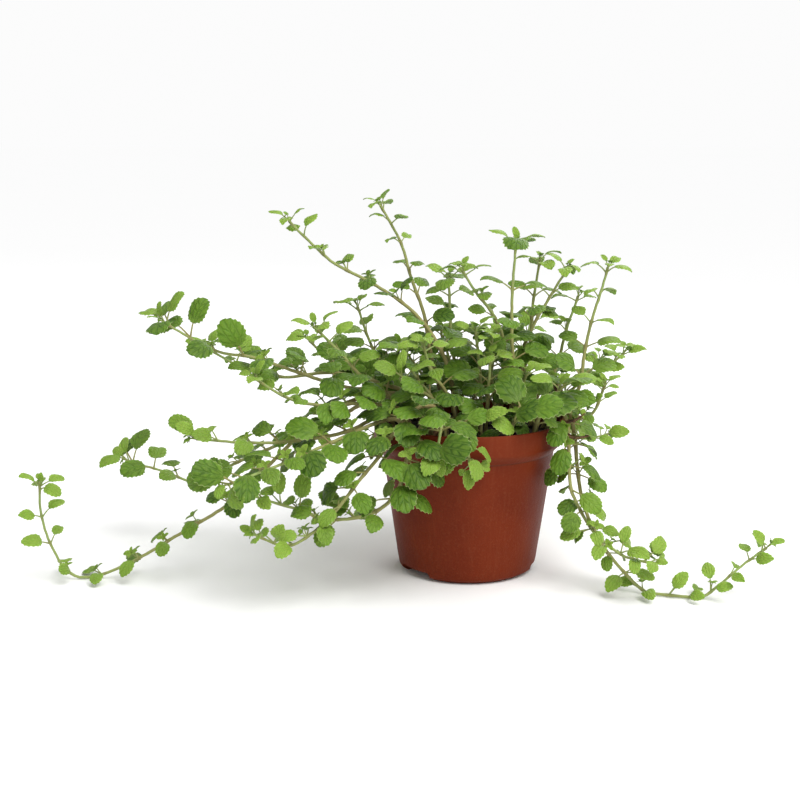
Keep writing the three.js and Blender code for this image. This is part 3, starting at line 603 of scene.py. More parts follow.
class Surface:
    """Vertices, faces and their colours, gathered for one piece from many small closed forms."""

    def __init__(self):
        self.points = []
        self.faces = []
        self.slots = []
        self.info = []
        self.flat = []
        self.count = 0

    def add(self, points, faces, slots, info, flat):
        """points in millimetres; info is (tone, youth, edge) and flat the leaf's own (x, y)."""
        self.points.append(np.asarray(points) * MM)
        self.faces += [[i + self.count for i in face] for face in faces]
        self.slots += slots
        self.info.append(np.asarray(info, dtype=float))
        self.flat.append(np.asarray(flat, dtype=float))
        self.count += len(points)

    def add_plain(self, points, faces, info):
        """A form with one material and no flat map of its own."""
        self.add(points, faces, [0] * len(faces), info, np.zeros((len(points), 2)))

    def finish(self, name, materials):
        """Makes the piece, with its growth values as a colour and its flat map as a UV map."""
        mesh = bpy.data.meshes.new(name)
        mesh.from_pydata(np.concatenate(self.points).tolist(), [], self.faces)
        for material in materials:
            mesh.materials.append(material)
        mesh.polygons.foreach_set("material_index", self.slots)
        info = np.concatenate(self.info)
        colours = np.concatenate([info, np.ones((len(info), 1))], axis=1)
        layer = mesh.color_attributes.new("growth", "FLOAT_COLOR", "POINT")
        layer.data.foreach_set("color", colours.astype(np.float32).ravel())
        flat = np.concatenate(self.flat)
        corners = np.zeros(len(mesh.loops), dtype=np.int32)
        mesh.loops.foreach_get("vertex_index", corners)
        uv = mesh.uv_layers.new(name="blade")
        uv.data.foreach_set("uv", flat[corners].astype(np.float32).ravel())
        mesh.update()
        piece = bpy.data.objects.new(name, mesh)
        bpy.context.scene.collection.objects.link(piece)
        return piece


def smooth(piece, degrees):
    """Shades a piece smooth except over edges sharper than an angle."""
    select_only(piece)
    bpy.ops.object.shade_smooth_by_angle(angle=degrees * DEGREE)


def select_only(piece):
    bpy.ops.object.select_all(action="DESELECT")
    piece.select_set(True)
    bpy.context.view_layer.objects.active = piece


def tube(points, radii, sides):
    """A closed tube through points, with a radius at each."""
    points = np.asarray(points)
    ahead = np.gradient(points, axis=0)
    ahead /= np.linalg.norm(ahead, axis=1)[:, None]
    normal = np.cross(ahead[0], UP)
    if np.linalg.norm(normal) < NEARLY_UPRIGHT:
        normal = np.cross(ahead[0], [0.0, 1.0, 0.0])
    rings = []
    for point, way, radius in zip(points, ahead, radii):
        normal = unit(normal - way * normal.dot(way))
        other = np.cross(way, normal)
        angles = np.arange(sides) / sides * 2 * math.pi
        ring = np.cos(angles)[:, None] * normal + np.sin(angles)[:, None] * other
        rings.append(point + ring * radius)
    faces = []
    for i in range(len(points) - 1):
        for j in range(sides):
            k = (j + 1) % sides
            low, high = i * sides, (i + 1) * sides
            faces.append([low + j, low + k, high + k, high + j])
    top = (len(points) - 1) * sides
    faces.append(list(range(sides))[::-1])
    faces.append([top + j for j in range(sides)])
    return np.concatenate(rings), faces


# A blade's columns on top, as shares of its half width, and the mark of its one column underneath.
# Every second row ends in a notch. Blades up to each radius have this many rows.
PAD_COLUMN = 0.55
COLUMNS = (-1, -PAD_COLUMN, 0, PAD_COLUMN, 1)
UNDER_COLUMN = 2.0
NOTCH_SHARE = 0.91
BLADE_ROUNDING = 0.85
BLADE_WIDTH = 0.97
BASE_MARGIN = 0.6
PAD_HEIGHT = 0.05
BLADE_DEPTH = 0.06
BLADE_ROWS = ((3.6, 11), (7, 15), (math.inf, 19))


def blade_pattern(rows):
    """A scalloped leaf blade of unit half length, flat: its base at (-1, 0) and its tip at (1, 0).

    The top has five points to a row and the underside one, between the same two edge points, so the
    blade is closed and thins to its edge."""
    flat, column, edge = [(-1.0, 0.0)], [0.0], [BASE_MARGIN]
    top, under = [[0] * len(COLUMNS)], [0]
    for i in range(1, rows - 1):
        angle = math.pi * i / (rows - 1)
        x = -math.cos(angle)
        half = math.sin(angle) ** BLADE_ROUNDING
        start = len(flat)
        top.append([start + j for j in range(len(COLUMNS))])
        under.append(start + len(COLUMNS))
        for share in COLUMNS:
            scale = NOTCH_SHARE if abs(share) == 1 and i % 2 == 0 else 1
            flat.append((x * scale, half * share * scale * BLADE_WIDTH))
            column.append(share)
            edge.append(1.0 if abs(share) == 1 else 0.0)
        flat.append((x, 0.0))
        column.append(UNDER_COLUMN)
        edge.append(0.0)
    top.append([len(flat)] * len(COLUMNS))
    under.append(len(flat))
    flat.append((1.0, 0.0))
    column.append(0.0)
    edge.append(1.0)
    faces, slots = [], []
    for i in range(rows - 1):
        here, ahead = top[i], top[i + 1]
        loops = [[here[j], here[j + 1], ahead[j + 1], ahead[j]] for j in range(len(COLUMNS) - 1)]
        loops.append([here[0], ahead[0], under[i + 1], under[i]])
        loops.append([under[i], under[i + 1], ahead[-1], here[-1]])
        faces += [list(dict.fromkeys(loop))[::-1] for loop in loops]
        slots += [0] * (len(COLUMNS) - 1) + [1] * 2
    return np.array(flat), np.array(column), np.array(edge), faces, slots


BLADES = {rows: blade_pattern(rows) for _, rows in BLADE_ROWS}


def add_blade(surface, base, axis, face, radius, shape, tone, youth):
    """One leaf blade: base is where its petiole meets it, and shape its bends and waves."""
    rows = next(rows for limit, rows in BLADE_ROWS if radius < limit)
    flat, column, edge, faces, slots = BLADES[rows]
    x, y = flat[:, 0], flat[:, 1]
    reach = np.hypot(x, y)
    angle = np.arctan2(y, x)
    height = -shape["dome"] * reach**2 - shape["curl"] * (x + 1) ** 2 / 4
    height += shape["fold"] * np.abs(y)
    height += shape["wave"] * reach**3 * np.sin(angle * 3 + shape["phase"])
    height += np.where(np.abs(column) == PAD_COLUMN, PAD_HEIGHT, 0)
    height -= np.where(column == UNDER_COLUMN, BLADE_DEPTH, 0)
    height -= height[0]
    bent = y * (1 + shape["skew"] * x) * shape["width"]
    across = np.cross(face, axis)
    points = np.outer((x + 1) * radius, axis) + np.outer(bent * radius, across)
    points = base + points + np.outer(height * radius, face)
    info = np.stack([np.full(len(x), tone), np.full(len(x), youth), edge], axis=1)
    surface.add(points, faces, slots, info, flat * 0.5 + 0.5)


def turned_about(vector, axis, angle):
    return np.array(Matrix.Rotation(angle, 3, Vector(axis)) @ Vector(vector))


# A leaf's bends: the least of each, how far it varies, and what youth adds.
LEAF_BENDS = {
    "dome": (0.16, 0.16, 0),
    "curl": (0.1, 0.25, 0),
    "fold": (-0.05, 0.2, 0.15),
    "wave": (0.05, 0.06, 0),
    "phase": (0, 6.28, 0),
    "skew": (-0.096, 0.24, -0.2),
    "width": (1.0, -0.12, -0.22),
}
BUD_BENDS = dict(dome=0.15, curl=0.1, fold=0.3, wave=0.03, phase=0, skew=-0.15, width=0.72)
DRY_BENDS = dict(dome=0.5, curl=1.2, fold=0.9, wave=0.25, skew=0.2, width=0.9)

# When a leaf counts as young, as a share of the way along its stem, and blade lengths: at FULL_GROWN
# none of it is left, and it comes back over GROWING_OVER.
YOUNG_FROM = 0.25
YOUTH_SPREAD = 0.4
FULL_GROWN = 19
GROWING_OVER = 6
LEAST_YOUTH = 0.1

# How far a blade tips down from its petiole, how much of that lifts its foot, and its twist.
TIP_LEAST = 0.15
TIP_SPREAD = 0.4
TIP_LIFT = 0.8
TWIST_SPREAD = 0.5

# A petiole's thickness and how it grows with its blade, its taper, how far it runs under the blade,
# and its look.
PETIOLE_SIDES = 5
PETIOLE_RADIUS = 0.3
PETIOLE_GROWTH = 0.035
PETIOLE_TAPER = np.array([1.35, 1.0, 0.9, 0.85, 0.6])
PETIOLE_UNDER_BLADE = 0.12
PETIOLE_YOUTH = 0.35
PETIOLE_JOINT = 0.2


def add_leaf(blades, stalks, leaf, draw):
    """A settled leaf: an arched petiole, and a blade that tips down from its end."""
    radius = leaf.radius
    youth = (leaf.age - YOUNG_FROM) / (1 - YOUNG_FROM) + (next(draw) - 0.5) * YOUTH_SPREAD
    youth = clamp(youth) * clamp((FULL_GROWN - 2 * radius) / GROWING_OVER, LEAST_YOUTH)
    # Painted light: leaves towards the right get a higher youth value, so their blades and petioles are
    # coloured paler, as if lit more.
    youth = min(1.0, youth + PAINTED_LIGHT_SHARE * clamp((leaf.centre[0] - PAINTED_LIGHT_FROM) / PAINTED_LIGHT_OVER))
    tip = TIP_LEAST + TIP_SPREAD * next(draw)
    lift = leaf.face * radius * math.sin(tip) * TIP_LIFT
    base = leaf.point + leaf.axis * leaf.petiole + lift
    across = np.cross(leaf.face, leaf.axis)
    axis = turned_about(leaf.axis, across, tip)
    face = turned_about(leaf.face, across, tip)
    face = turned_about(face, axis, (next(draw) - 0.5) * TWIST_SPREAD)
    shape = {}
    for bend, (least, spread, young) in LEAF_BENDS.items():
        shape[bend] = least + spread * next(draw) + young * youth
    add_blade(blades, base, axis, face, radius, shape, next(draw), youth)
    shares = np.linspace(0, 1, len(PETIOLE_TAPER))[:, None]
    arch = np.sin(shares * math.pi / 2)
    end = base + axis * radius * PETIOLE_UNDER_BLADE
    line = leaf.point + (end - leaf.point - lift) * shares + lift * arch
    radii = (PETIOLE_RADIUS + PETIOLE_GROWTH * radius) * PETIOLE_TAPER
    points, faces = tube(line, radii, PETIOLE_SIDES)
    info = (next(draw), PETIOLE_YOUTH + (1 - PETIOLE_YOUTH) * youth, PETIOLE_JOINT)
    stalks.add_plain(points, faces, [info] * len(points))


# A stem's rows every STEM_ROW along it, how it thins from foot to tip, how far it wanders, and how
# far from a joint and by how much it swells.
STEM_ROW = 3
STEM_FEWEST_ROWS = 6
STEM_SIDES = 8
STEM_FOOT = 1.02
STEM_TAPER = 0.5
STEM_TAPER_POWER = 1.3
STEM_WOBBLE = 0.3
JOINT_REACH = 2.6
JOINT_SWELL = 0.3


def add_stem(stalks, stem, leaves, draw):
    """A shoot's stem, thinning to its tip, with a swollen joint under each pair of leaves."""
    count = max(STEM_FEWEST_ROWS, int(stem.length / STEM_ROW))
    points = stem.spaced(count)
    share = np.linspace(0, 1, count + 1)
    radii = STEM_RADIUS * (STEM_FOOT - STEM_TAPER * share**STEM_TAPER_POWER)
    joints = np.zeros(count + 1)
    for leaf in leaves:
        gap = np.linalg.norm(points - leaf.point, axis=1)
        joints = np.maximum(joints, np.clip(1 - gap / JOINT_REACH, 0, 1))
    radii *= 1 + JOINT_SWELL * joints
    wobble = np.array([[next(draw) - 0.5 for _ in range(3)] for _ in range(count + 1)])
    free = np.clip(points[:, 2:3] - STEM_RADIUS - 1, 0, 1)
    points = points + wobble * STEM_WOBBLE * free
    points[:, 2] = np.maximum(points[:, 2], radii)
    rings, faces = tube(points, radii, STEM_SIDES)
    info = np.stack([np.full(count + 1, next(draw)), share, joints], axis=1)
    stalks.add_plain(rings, faces, info.repeat(STEM_SIDES, axis=0))


# A side shoot's stalk, how far its leaves spread, and the lengths of its two pairs as shares of its
# own, with the least and most of a blade.
BUD_RADIUS = 0.3
BUD_GROWTH = 0.02
BUD_TAPER = (1.2, 1, 0.7)
BUD_BOW = 0.04
BUD_YOUTH = 0.9
BUD_JOINT = 0.1
BUD_SPREAD = (0.6, 0.3)
BUD_BLADE_LEAST = 0.9
BUD_BLADE_MOST = 3.2
BUD_BLADE_SPREAD = (0.85, 0.3)
BUD_PAIR = 0.3
BUD_INNER_PAIR = 0.2


def add_bud(blades, stalks, point, ahead, face, size, draw):
    """A side shoot: a short stalk with a pair of small folded leaves, and a pair of tiny ones."""
    across = unit(np.cross(face, ahead))
    top = point + ahead * size
    radius = BUD_RADIUS + BUD_GROWTH * size
    middle = (point + top) / 2 + face * size * BUD_BOW
    radii = [radius * share for share in BUD_TAPER]
    points, faces = tube([point, middle, top], radii, PETIOLE_SIDES)
    stalks.add_plain(points, faces, [(next(draw), BUD_YOUTH, BUD_JOINT)] * len(points))
    for way, share in ((across, BUD_PAIR), (face, BUD_INNER_PAIR)):
        for side in (-1, 1):
            spread = BUD_SPREAD[0] + BUD_SPREAD[1] * next(draw)
            axis = unit(ahead * (1 - spread) + way * side * spread)
            look = unit(ahead - axis * ahead.dot(axis))
            blade = min(BUD_BLADE_MOST, BUD_BLADE_LEAST + size * share)
            blade *= BUD_BLADE_SPREAD[0] + BUD_BLADE_SPREAD[1] * next(draw)
            add_blade(blades, top, axis, look, blade, BUD_BENDS, next(draw), 1.0)


# ------------------------------------------------------------------------------------------------
# Nodes and materials


def add_node(tree, kind, inputs=None, **settings):
    """Adds a node, sets its settings, and sets or joins its inputs."""
    made = tree.nodes.new(kind)
    for key, value in settings.items():
        setattr(made, key, value)
    for key, value in (inputs or {}).items():
        socket = made.inputs[key]
        if isinstance(value, bpy.types.NodeSocket):
            tree.links.new(value, socket)
        else:
            socket.default_value = value
    return made


def calc(tree, operation, *values, clamp=False):
    """The output of a Math node."""
    inputs = dict(enumerate(values))
    return add_node(tree, "ShaderNodeMath", inputs, operation=operation, use_clamp=clamp).outputs[0]


def mix(tree, share, first, second):
    """A colour between two colours."""
    inputs = {0: share, 6: rgba(first), 7: rgba(second)}
    return add_node(tree, "ShaderNodeMix", inputs, data_type="RGBA").outputs[2]


def rgba(colour):
    if isinstance(colour, bpy.types.NodeSocket):
        return colour
    return (*colour[:3], 1.0)


def ramp(tree, value, low, high):
    """0 below low, 1 above high, and smooth between."""
    inputs = {"Value": value, "From Min": low, "From Max": high}
    made = add_node(tree, "ShaderNodeMapRange", inputs, interpolation_type="SMOOTHSTEP")
    return made.outputs[0]


def new_group(name, inputs, outputs):
    """A shader node group with named sockets, and its two end nodes."""
    group = bpy.data.node_groups.new(name, "ShaderNodeTree")
    for label, kind, default in inputs:
        socket = group.interface.new_socket(label, in_out="INPUT", socket_type=kind)
        if default is not None:
            socket.default_value = default
    for label in outputs:
        group.interface.new_socket(label, in_out="OUTPUT", socket_type="NodeSocketFloat")
    start = group.nodes.new("NodeGroupInput")
    end = group.nodes.new("NodeGroupOutput")
    return group, start.outputs, end.inputs


def make_mottle():
    """Broad and fine soft blotches, for every surface."""
    sockets = [
        ("Place", "NodeSocketVector", None),
        ("Scale", "NodeSocketFloat", 60.0),
        ("Detail", "NodeSocketFloat", 3.0),
    ]
    group, start, end = new_group("mottle", sockets, ["Broad", "Fine"])
    fine_scale = calc(group, "MULTIPLY", start["Scale"], 7.0)
    for label, scale in (("Broad", start["Scale"]), ("Fine", fine_scale)):
        inputs = {"Vector": start["Place"], "Scale": scale, "Detail": start["Detail"]}
        blotch = add_node(group, "ShaderNodeTexNoise", inputs).outputs["Fac"]
        group.links.new(blotch, end[label])


def make_nerves():
    """A leaf's three nerves, side veins and the puffed pads between them, from its own flat map."""
    sockets = [
        ("Blade", "NodeSocketVector", None),
        ("Side Veins", "NodeSocketFloat", 4.5),
        ("Width", "NodeSocketFloat", 0.05),
    ]
    group, start, end = new_group("nerves", sockets, ["Nerve", "Vein", "Pad", "Foot"])
    flat = add_node(group, "ShaderNodeSeparateXYZ", {"Vector": start["Blade"]}).outputs
    length = flat["X"]

    def times(first, second):
        return calc(group, "MULTIPLY", first, second)

    def less(first, second, clamp=False):
        return calc(group, "SUBTRACT", first, second, clamp=clamp)

    def size(value):
        return calc(group, "ABSOLUTE", value)

    # How far a place is from the middle nerve and from the two bowed ones, in half widths.
    across = size(times(less(flat["Y"], 0.5), 2.0))
    bow = times(times(calc(group, "SQRT", length), 0.62), less(1.12, times(length, 0.5)))
    from_nerve = calc(group, "MINIMUM", across, size(less(across, bow)))
    nerve = less(1.0, calc(group, "DIVIDE", from_nerve, start["Width"]), clamp=True)
    # Side veins slant forward from the nerves, and wander a little.
    bent = {"Vector": start["Blade"], "Scale": 3.0}
    bend = add_node(group, "ShaderNodeTexNoise", bent).outputs["Fac"]
    slant = calc(group, "ADD", less(length, times(across, 0.42)), times(bend, 0.35))
    wave = calc(group, "FRACT", times(slant, start["Side Veins"]))
    from_vein = less(0.5, size(less(wave, 0.5)))
    vein = less(1.0, times(from_vein, 6.0), clamp=True)
    pad = times(ramp(group, from_nerve, 0.0, 0.13), ramp(group, from_vein, 0.0, 0.3))
    foot = less(1.0, ramp(group, length, 0.02, 0.4))
    for label, value in (("Nerve", nerve), ("Vein", vein), ("Pad", pad), ("Foot", foot)):
        group.links.new(value, end[label])


class Finish:
    """A new material with its shader, object coordinates and mottle ready to use."""

    def __init__(self, name, **uniform):
        self.material = bpy.data.materials.new(name)
        self.material.use_nodes = True
        self.tree = self.material.node_tree
        self.shader = self.tree.nodes["Principled BSDF"]
        for label, value in uniform.items():
            self.shader.inputs[label.replace("_", " ")].default_value = value
        self.place = add_node(self.tree, "ShaderNodeTexCoord").outputs["Object"]

    def mottle(self, scale, detail=3.0, place=None):
        inputs = {"Place": place or self.place, "Scale": scale, "Detail": detail}
        group = bpy.data.node_groups["mottle"]
        made = add_node(self.tree, "ShaderNodeGroup", inputs, node_tree=group)
        return made.outputs["Broad"], made.outputs["Fine"]

    def growth(self):
        """The piece's own tone, youth and edge."""
        colour = add_node(self.tree, "ShaderNodeAttribute", attribute_name="growth").outputs["Color"]
        split = add_node(self.tree, "ShaderNodeSeparateColor", {"Color": colour}).outputs
        return split["Red"], split["Green"], split["Blue"]

    def nerves(self, side_veins, width):
        blade = add_node(self.tree, "ShaderNodeUVMap", uv_map="blade").outputs["UV"]
        inputs = {"Blade": blade, "Side Veins": side_veins, "Width": width}
        group = bpy.data.node_groups["nerves"]
        return add_node(self.tree, "ShaderNodeGroup", inputs, node_tree=group).outputs

    def coats(self, colour, *layers):
        """A colour under layers of others, each with its mask, its greatest share and its colour."""
        for mask, share, over in layers:
            colour = mix(self.tree, calc(self.tree, "MULTIPLY", mask, share), colour, over)
        return colour

    def between(self, value, low, high):
        inputs = {"Value": value, "To Min": low, "To Max": high}
        return add_node(self.tree, "ShaderNodeMapRange", inputs).outputs[0]

    def finish(self, colour, roughness, height, depth, strength):
        """Joins the colour, roughness and relief, whose depth is in metres."""
        bump_inputs = {"Height": height, "Distance": depth, "Strength": strength}
        normal = add_node(self.tree, "ShaderNodeBump", bump_inputs).outputs["Normal"]
        self.tree.links.new(colour, self.shader.inputs["Base Color"])
        self.tree.links.new(roughness, self.shader.inputs["Roughness"])
        self.tree.links.new(normal, self.shader.inputs["Normal"])
        return self.material


def leaf_material(name, colours, under):
    """The blade's top, quilted between its nerves, or its paler underside, ribbed by them."""
    made = Finish(name, Subsurface_Weight=0.12, Subsurface_Scale=0.002, Specular_IOR_Level=0.18)
    made.shader.inputs["Subsurface Radius"].default_value = (0.4, 1.0, 0.15)
    tree = made.tree
    tone, youth, edge = made.growth()
    broad, fine = made.mottle(250.0)
    nerves = made.nerves(3.6, 0.07 if under else 0.05)
    lights = calc(tree, "MULTIPLY", tone, 0.7)
    lights = calc(tree, "ADD", lights, calc(tree, "MULTIPLY", broad, 0.8))
    colour = made.coats(
        colours.leaf_dark,
        (ramp(tree, lights, 0.35, 1.1), 1.0, colours.leaf_middle),
        # Youth also carries the painted light that makes the right-hand leaves paler.
        (ramp(tree, youth, 0.05, 1.0), 1.0, colours.leaf_young_and_painted_light),
        # Painted highlight: the raised pads between the nerves are coloured paler, as if catching the
        # light.
        (nerves["Pad"], 0.3, colours.leaf_young_and_painted_light),
    )
    if under:
        colour = mix(tree, 0.55, colour, colours.leaf_under)
    colour = made.coats(
        colour,
        (nerves["Vein"], 0.08, colours.leaf_nerve),
        (nerves["Nerve"], 0.34, colours.leaf_nerve),
        (nerves["Foot"], 0.3, colours.leaf_nerve),
        (ramp(tree, edge, 0.84, 0.98), 0.6, colours.leaf_margin),
        (ramp(tree, fine, 0.4, 0.7), 0.25, colours.leaf_dark),
    )
    roughness = made.between(fine, 0.36, 0.56)
    relief = calc(tree, "MULTIPLY", nerves["Pad"], -0.5 if under else 0.75)
    relief = calc(tree, "ADD", relief, calc(tree, "MULTIPLY", fine, 0.45))
    return made.finish(colour, roughness, relief, 0.0005, 0.8)


def stem_material(colours):
    """Ridged stalks, tan and woody near the soil, olive and then green towards the tip."""
    made = Finish(
        "stem skin",
        Subsurface_Weight=0.05,
        Subsurface_Scale=0.001,
        Specular_IOR_Level=0.25,
    )
    tree = made.tree
    tone, youth, joint = made.growth()
    broad, fine = made.mottle(180.0)
    colour = made.coats(
        colours.stem_old,
        (ramp(tree, youth, 0.0, 0.45), 1.0, colours.stem_middle),
        (ramp(tree, youth, 0.4, 1.0), 1.0, colours.stem_young),
        (tone, 0.3, colours.stem_joint),
        (joint, 0.45, colours.stem_joint),
        (ramp(tree, broad, 0.45, 0.75), 0.35, colours.stem_old),
    )
    return made.finish(colour, made.between(fine, 0.45, 0.7), fine, 0.0003, 0.6)


def dry_material(colours):
    """Withered leaves, brown and brittle."""
    made = Finish("dry leaf", Specular_IOR_Level=0.25)
    broad, fine = made.mottle(200.0)
    patch = ramp(made.tree, broad, 0.35, 0.65)
    colour = mix(made.tree, patch, colours.dry_dark, colours.dry_light)
    return made.finish(colour, made.between(fine, 0.75, 0.95), fine, 0.0006, 0.9)


def plastic_material(colours):
    """Moulded plastic: a fine grain, faint upright streaks from the mould, convex edges coloured paler
    as part scuffing and part painted highlight, and a painted shade line in the groove under the rim
    band.
    """
    made = Finish("terracotta plastic", Specular_IOR_Level=0.1)
    tree = made.tree
    upright = {"Vector": made.place, "Scale": (1.0, 1.0, 0.05)}
    stretched = add_node(tree, "ShaderNodeMapping", upright).outputs["Vector"]
    streak, hair = made.mottle(420.0, 2.0, stretched)
    grain, pits = made.mottle(650.0)
    height = add_node(tree, "ShaderNodeSeparateXYZ", {"Vector": made.place}).outputs["Z"]
    rim_start = (POT_HEIGHT - RIM_BAND - RIM_SLOPE) * MM
    from_line = calc(tree, "ABSOLUTE", calc(tree, "SUBTRACT", height, rim_start))
    line = calc(tree, "SUBTRACT", 1.0, ramp(tree, from_line, 0.1 * MM, 0.7 * MM))
    pointiness = add_node(tree, "ShaderNodeNewGeometry").outputs["Pointiness"]
    colour = made.coats(
        colours.pot_dark,
        (ramp(tree, made.mottle(28.0)[0], 0.3, 0.7), 1.0, colours.pot_body),
        (ramp(tree, height, rim_start, rim_start + RIM_SLOPE * MM), 0.55, colours.pot_rim),
        # Painted shade: a thin dark line in the groove where the rim's slope meets the wall.
        (line, 0.45, colours.peat_dry_and_groove_shade),
        (ramp(tree, streak, 0.45, 0.8), 0.07, colours.pot_dust_and_edge_highlight),
        (ramp(tree, hair, 0.6, 0.75), 0.05, colours.pot_dust_and_edge_highlight),
        (ramp(tree, grain, 0.5, 0.75), 0.1, colours.pot_dust_and_edge_highlight),
        # Convex edges coloured paler: partly scuffing, partly a painted highlight.
        (ramp(tree, pointiness, 0.53, 0.6), 0.3, colours.pot_dust_and_edge_highlight),
    )
    relief = calc(tree, "ADD", calc(tree, "MULTIPLY", grain, 0.7), calc(tree, "MULTIPLY", pits, 0.3))
    return made.finish(colour, made.between(streak, 0.4, 0.6), relief, 0.0003, 0.6)


def peat_material(colours):
    """Damp black peat with brown fibres."""
    made = Finish("peat", Specular_IOR_Level=0.25)
    broad, fine = made.mottle(220.0, 6.0)
    colour = made.coats(
        colours.peat_dark,
        (ramp(made.tree, broad, 0.35, 0.65), 1.0, colours.peat_dry_and_groove_shade),
        (ramp(made.tree, fine, 0.56, 0.68), 0.6, colours.peat_fibre),
    )
    return made.finish(colour, made.between(broad, 0.8, 1.0), fine, 0.0012, 1.0)


FLOOR_PATCH = (0.8, 0.8, 0.8)


def floor_material(colours):
    """A plain pale floor, with the faintest patches."""
    made = Finish("pale floor", Specular_IOR_Level=0.0)
    broad, fine = made.mottle(3.0)
    colour = made.coats(colours.floor, (broad, 0.03, FLOOR_PATCH))
    return made.finish(colour, made.between(fine, 0.85, 0.95), fine, 0.0001, 0.1)


# ------------------------------------------------------------------------------------------------
# What a user would change


def colour_property(name, description, default):
    return bpy.props.FloatVectorProperty(
        name=name,
        description=description,
        default=default,
        subtype="COLOR",
        size=3,
        min=0.0,
        max=1.0,
    )


class PlantColours(bpy.types.PropertyGroup):
    leaf_dark: colour_property("Old leaf", "Darkest leaf green", (0.02, 0.066, 0.0025))
    leaf_middle: colour_property("Leaf", "Usual leaf green", (0.09, 0.192, 0.011))
    # Young leaves, and also the colour of the painted light on the right-hand leaves and on the raised
    # pads.
    leaf_young_and_painted_light: colour_property("Young leaf", "Leaf green at the tips", (0.24, 0.375, 0.05))
    leaf_under: colour_property("Leaf underside", "Pale underside", (0.21, 0.31, 0.09))
    leaf_nerve: colour_property("Nerve", "Nerves and leaf foot", (0.22, 0.33, 0.06))
    leaf_margin: colour_property("Margin", "Line round the blade", (0.43, 0.49, 0.2))
    stem_old: colour_property("Old stem", "Stem near the soil", (0.25, 0.2, 0.085))
    stem_middle: colour_property("Stem", "Stem half way", (0.32, 0.32, 0.11))
    stem_young: colour_property("Young stem", "Stem near the tip", (0.29, 0.4, 0.12))
    stem_joint: colour_property("Stem joint", "Swollen joints", (0.17, 0.11, 0.045))
    dry_dark: colour_property("Dry leaf, dark", "Withered leaf", (0.06, 0.028, 0.012))
    dry_light: colour_property("Dry leaf, light", "Withered leaf", (0.2, 0.11, 0.05))
    pot_body: colour_property("Pot", "Plastic of the wall", (0.153, 0.0205, 0.004))
    pot_dark: colour_property("Pot, dark", "Darker patches", (0.123, 0.015, 0.003))
    pot_rim: colour_property("Pot rim", "Plastic of the rim band", (0.168, 0.0255, 0.0065))
    # Dust and streaks, and also the painted highlight on the pot's convex edges.
    pot_dust_and_edge_highlight: colour_property("Pot dust", "Dust, streaks and scuffs", (0.27, 0.09, 0.04))
    peat_dark: colour_property("Peat", "Damp peat", (0.008, 0.006, 0.005))
    # Drier peat, and also the painted shade line in the pot's groove under the rim.
    peat_dry_and_groove_shade: colour_property("Peat, dry", "Drier peat", (0.03, 0.021, 0.014))
    peat_fibre: colour_property("Peat fibre", "Fibres in the peat", (0.085, 0.055, 0.03))
    floor: colour_property("Floor", "Studio floor", (0.93, 0.93, 0.93))


def length_property(name, description, default, low, high):
    return bpy.props.FloatProperty(
        name=name,
        description=description,
        default=default * MM,
        min=low * MM,
        max=high * MM,
        unit="LENGTH",
    )


class PlantSizes(bpy.types.PropertyGroup):
    soil_lump: length_property("Soil lumps", "How far the soil's lumps stand up", 1.6, 0, 4)
    lip: length_property("Edge rounding", "Radius of the pot's moulded edges", 0.7, 0.1, 0.8)
    bud: length_property("Bud", "Length of the small shoots in the leaf joints", 4.2, 1, 8)
    crumbs: bpy.props.IntProperty(
        name="Crumbs",
        description="Loose crumbs that lie on the soil",
        default=170,
        min=0,
    )


def colours_of(context):
    return context.scene.plant_colours


def sizes_of(context):
    return context.scene.plant_sizes


# ------------------------------------------------------------------------------------------------
# Pieces


def hold(piece, slot, *nodes):
    """Sets a finished piece in the frame: its body and the solids it stands for. Its slot is not used.
    """
    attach(piece, BODY)
    if nodes:
        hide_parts(*nodes)


def deselect_all():
    if bpy.context.object and bpy.context.object.mode != "OBJECT":
        bpy.ops.object.mode_set(mode="OBJECT")
    bpy.ops.object.select_all(action="DESELECT")


def add_primitive(kind, **settings):
    """A new mesh of one of the basic kinds, which is the only thing selected."""
    deselect_all()
    getattr(bpy.ops.mesh, f"primitive_{kind}_add")(**settings)
    return bpy.context.object


def apply_place(piece):
    """Leaves a piece's object at the origin, with its place in its mesh."""
    select_only(piece)
    bpy.ops.object.transform_apply(location=True, rotation=True, scale=True)


def apply_modifiers(piece):
    select_only(piece)
    for modifier in list(piece.modifiers):
        bpy.ops.object.modifier_apply(modifier=modifier.name)


def extrude_along(path):
    """Extrudes the selected face or loop through (radius, height) points, about the Z axis."""
    for (radius, height), (next_radius, next_height) in zip(path, path[1:]):
        move = (0, 0, (next_height - height) * MM)
        bpy.ops.mesh.extrude_region_move(TRANSFORM_OT_translate={"value": move})
        share = next_radius / radius
        centre = (0, 0, next_height * MM)
        bpy.ops.transform.resize(value=(share, share, 1), center_override=centre)


def close_up():
    """Turns every face of the mesh in edit mode outwards, and leaves edit mode."""
    bpy.ops.mesh.select_all(action="SELECT")
    bpy.ops.mesh.normals_make_consistent(inside=False)
    bpy.ops.object.mode_set(mode="OBJECT")


def cut(piece, cutter):
    """Cuts a tool's shape out of a piece, and removes the tool."""
    modifier = piece.modifiers.new("cut", "BOOLEAN")
    modifier.operation = "DIFFERENCE"
    modifier.object = cutter
    apply_modifiers(piece)
    bpy.data.objects.remove(cutter)


def bevel(piece, width, segments, angle):
    """Rounds the edges that are sharper than an angle."""
    modifier = piece.modifiers.new("rounding", "BEVEL")
    modifier.width = width
    modifier.segments = segments
    modifier.limit_method = "ANGLE"
    modifier.angle_limit = angle * DEGREE
    apply_modifiers(piece)


POT_SIDES = 160
DRAIN_SIDES = 32
FLOOR_EASE = 0.5
NOTCH_OVERCUT = 2
NOTCH_ROUNDING = 2


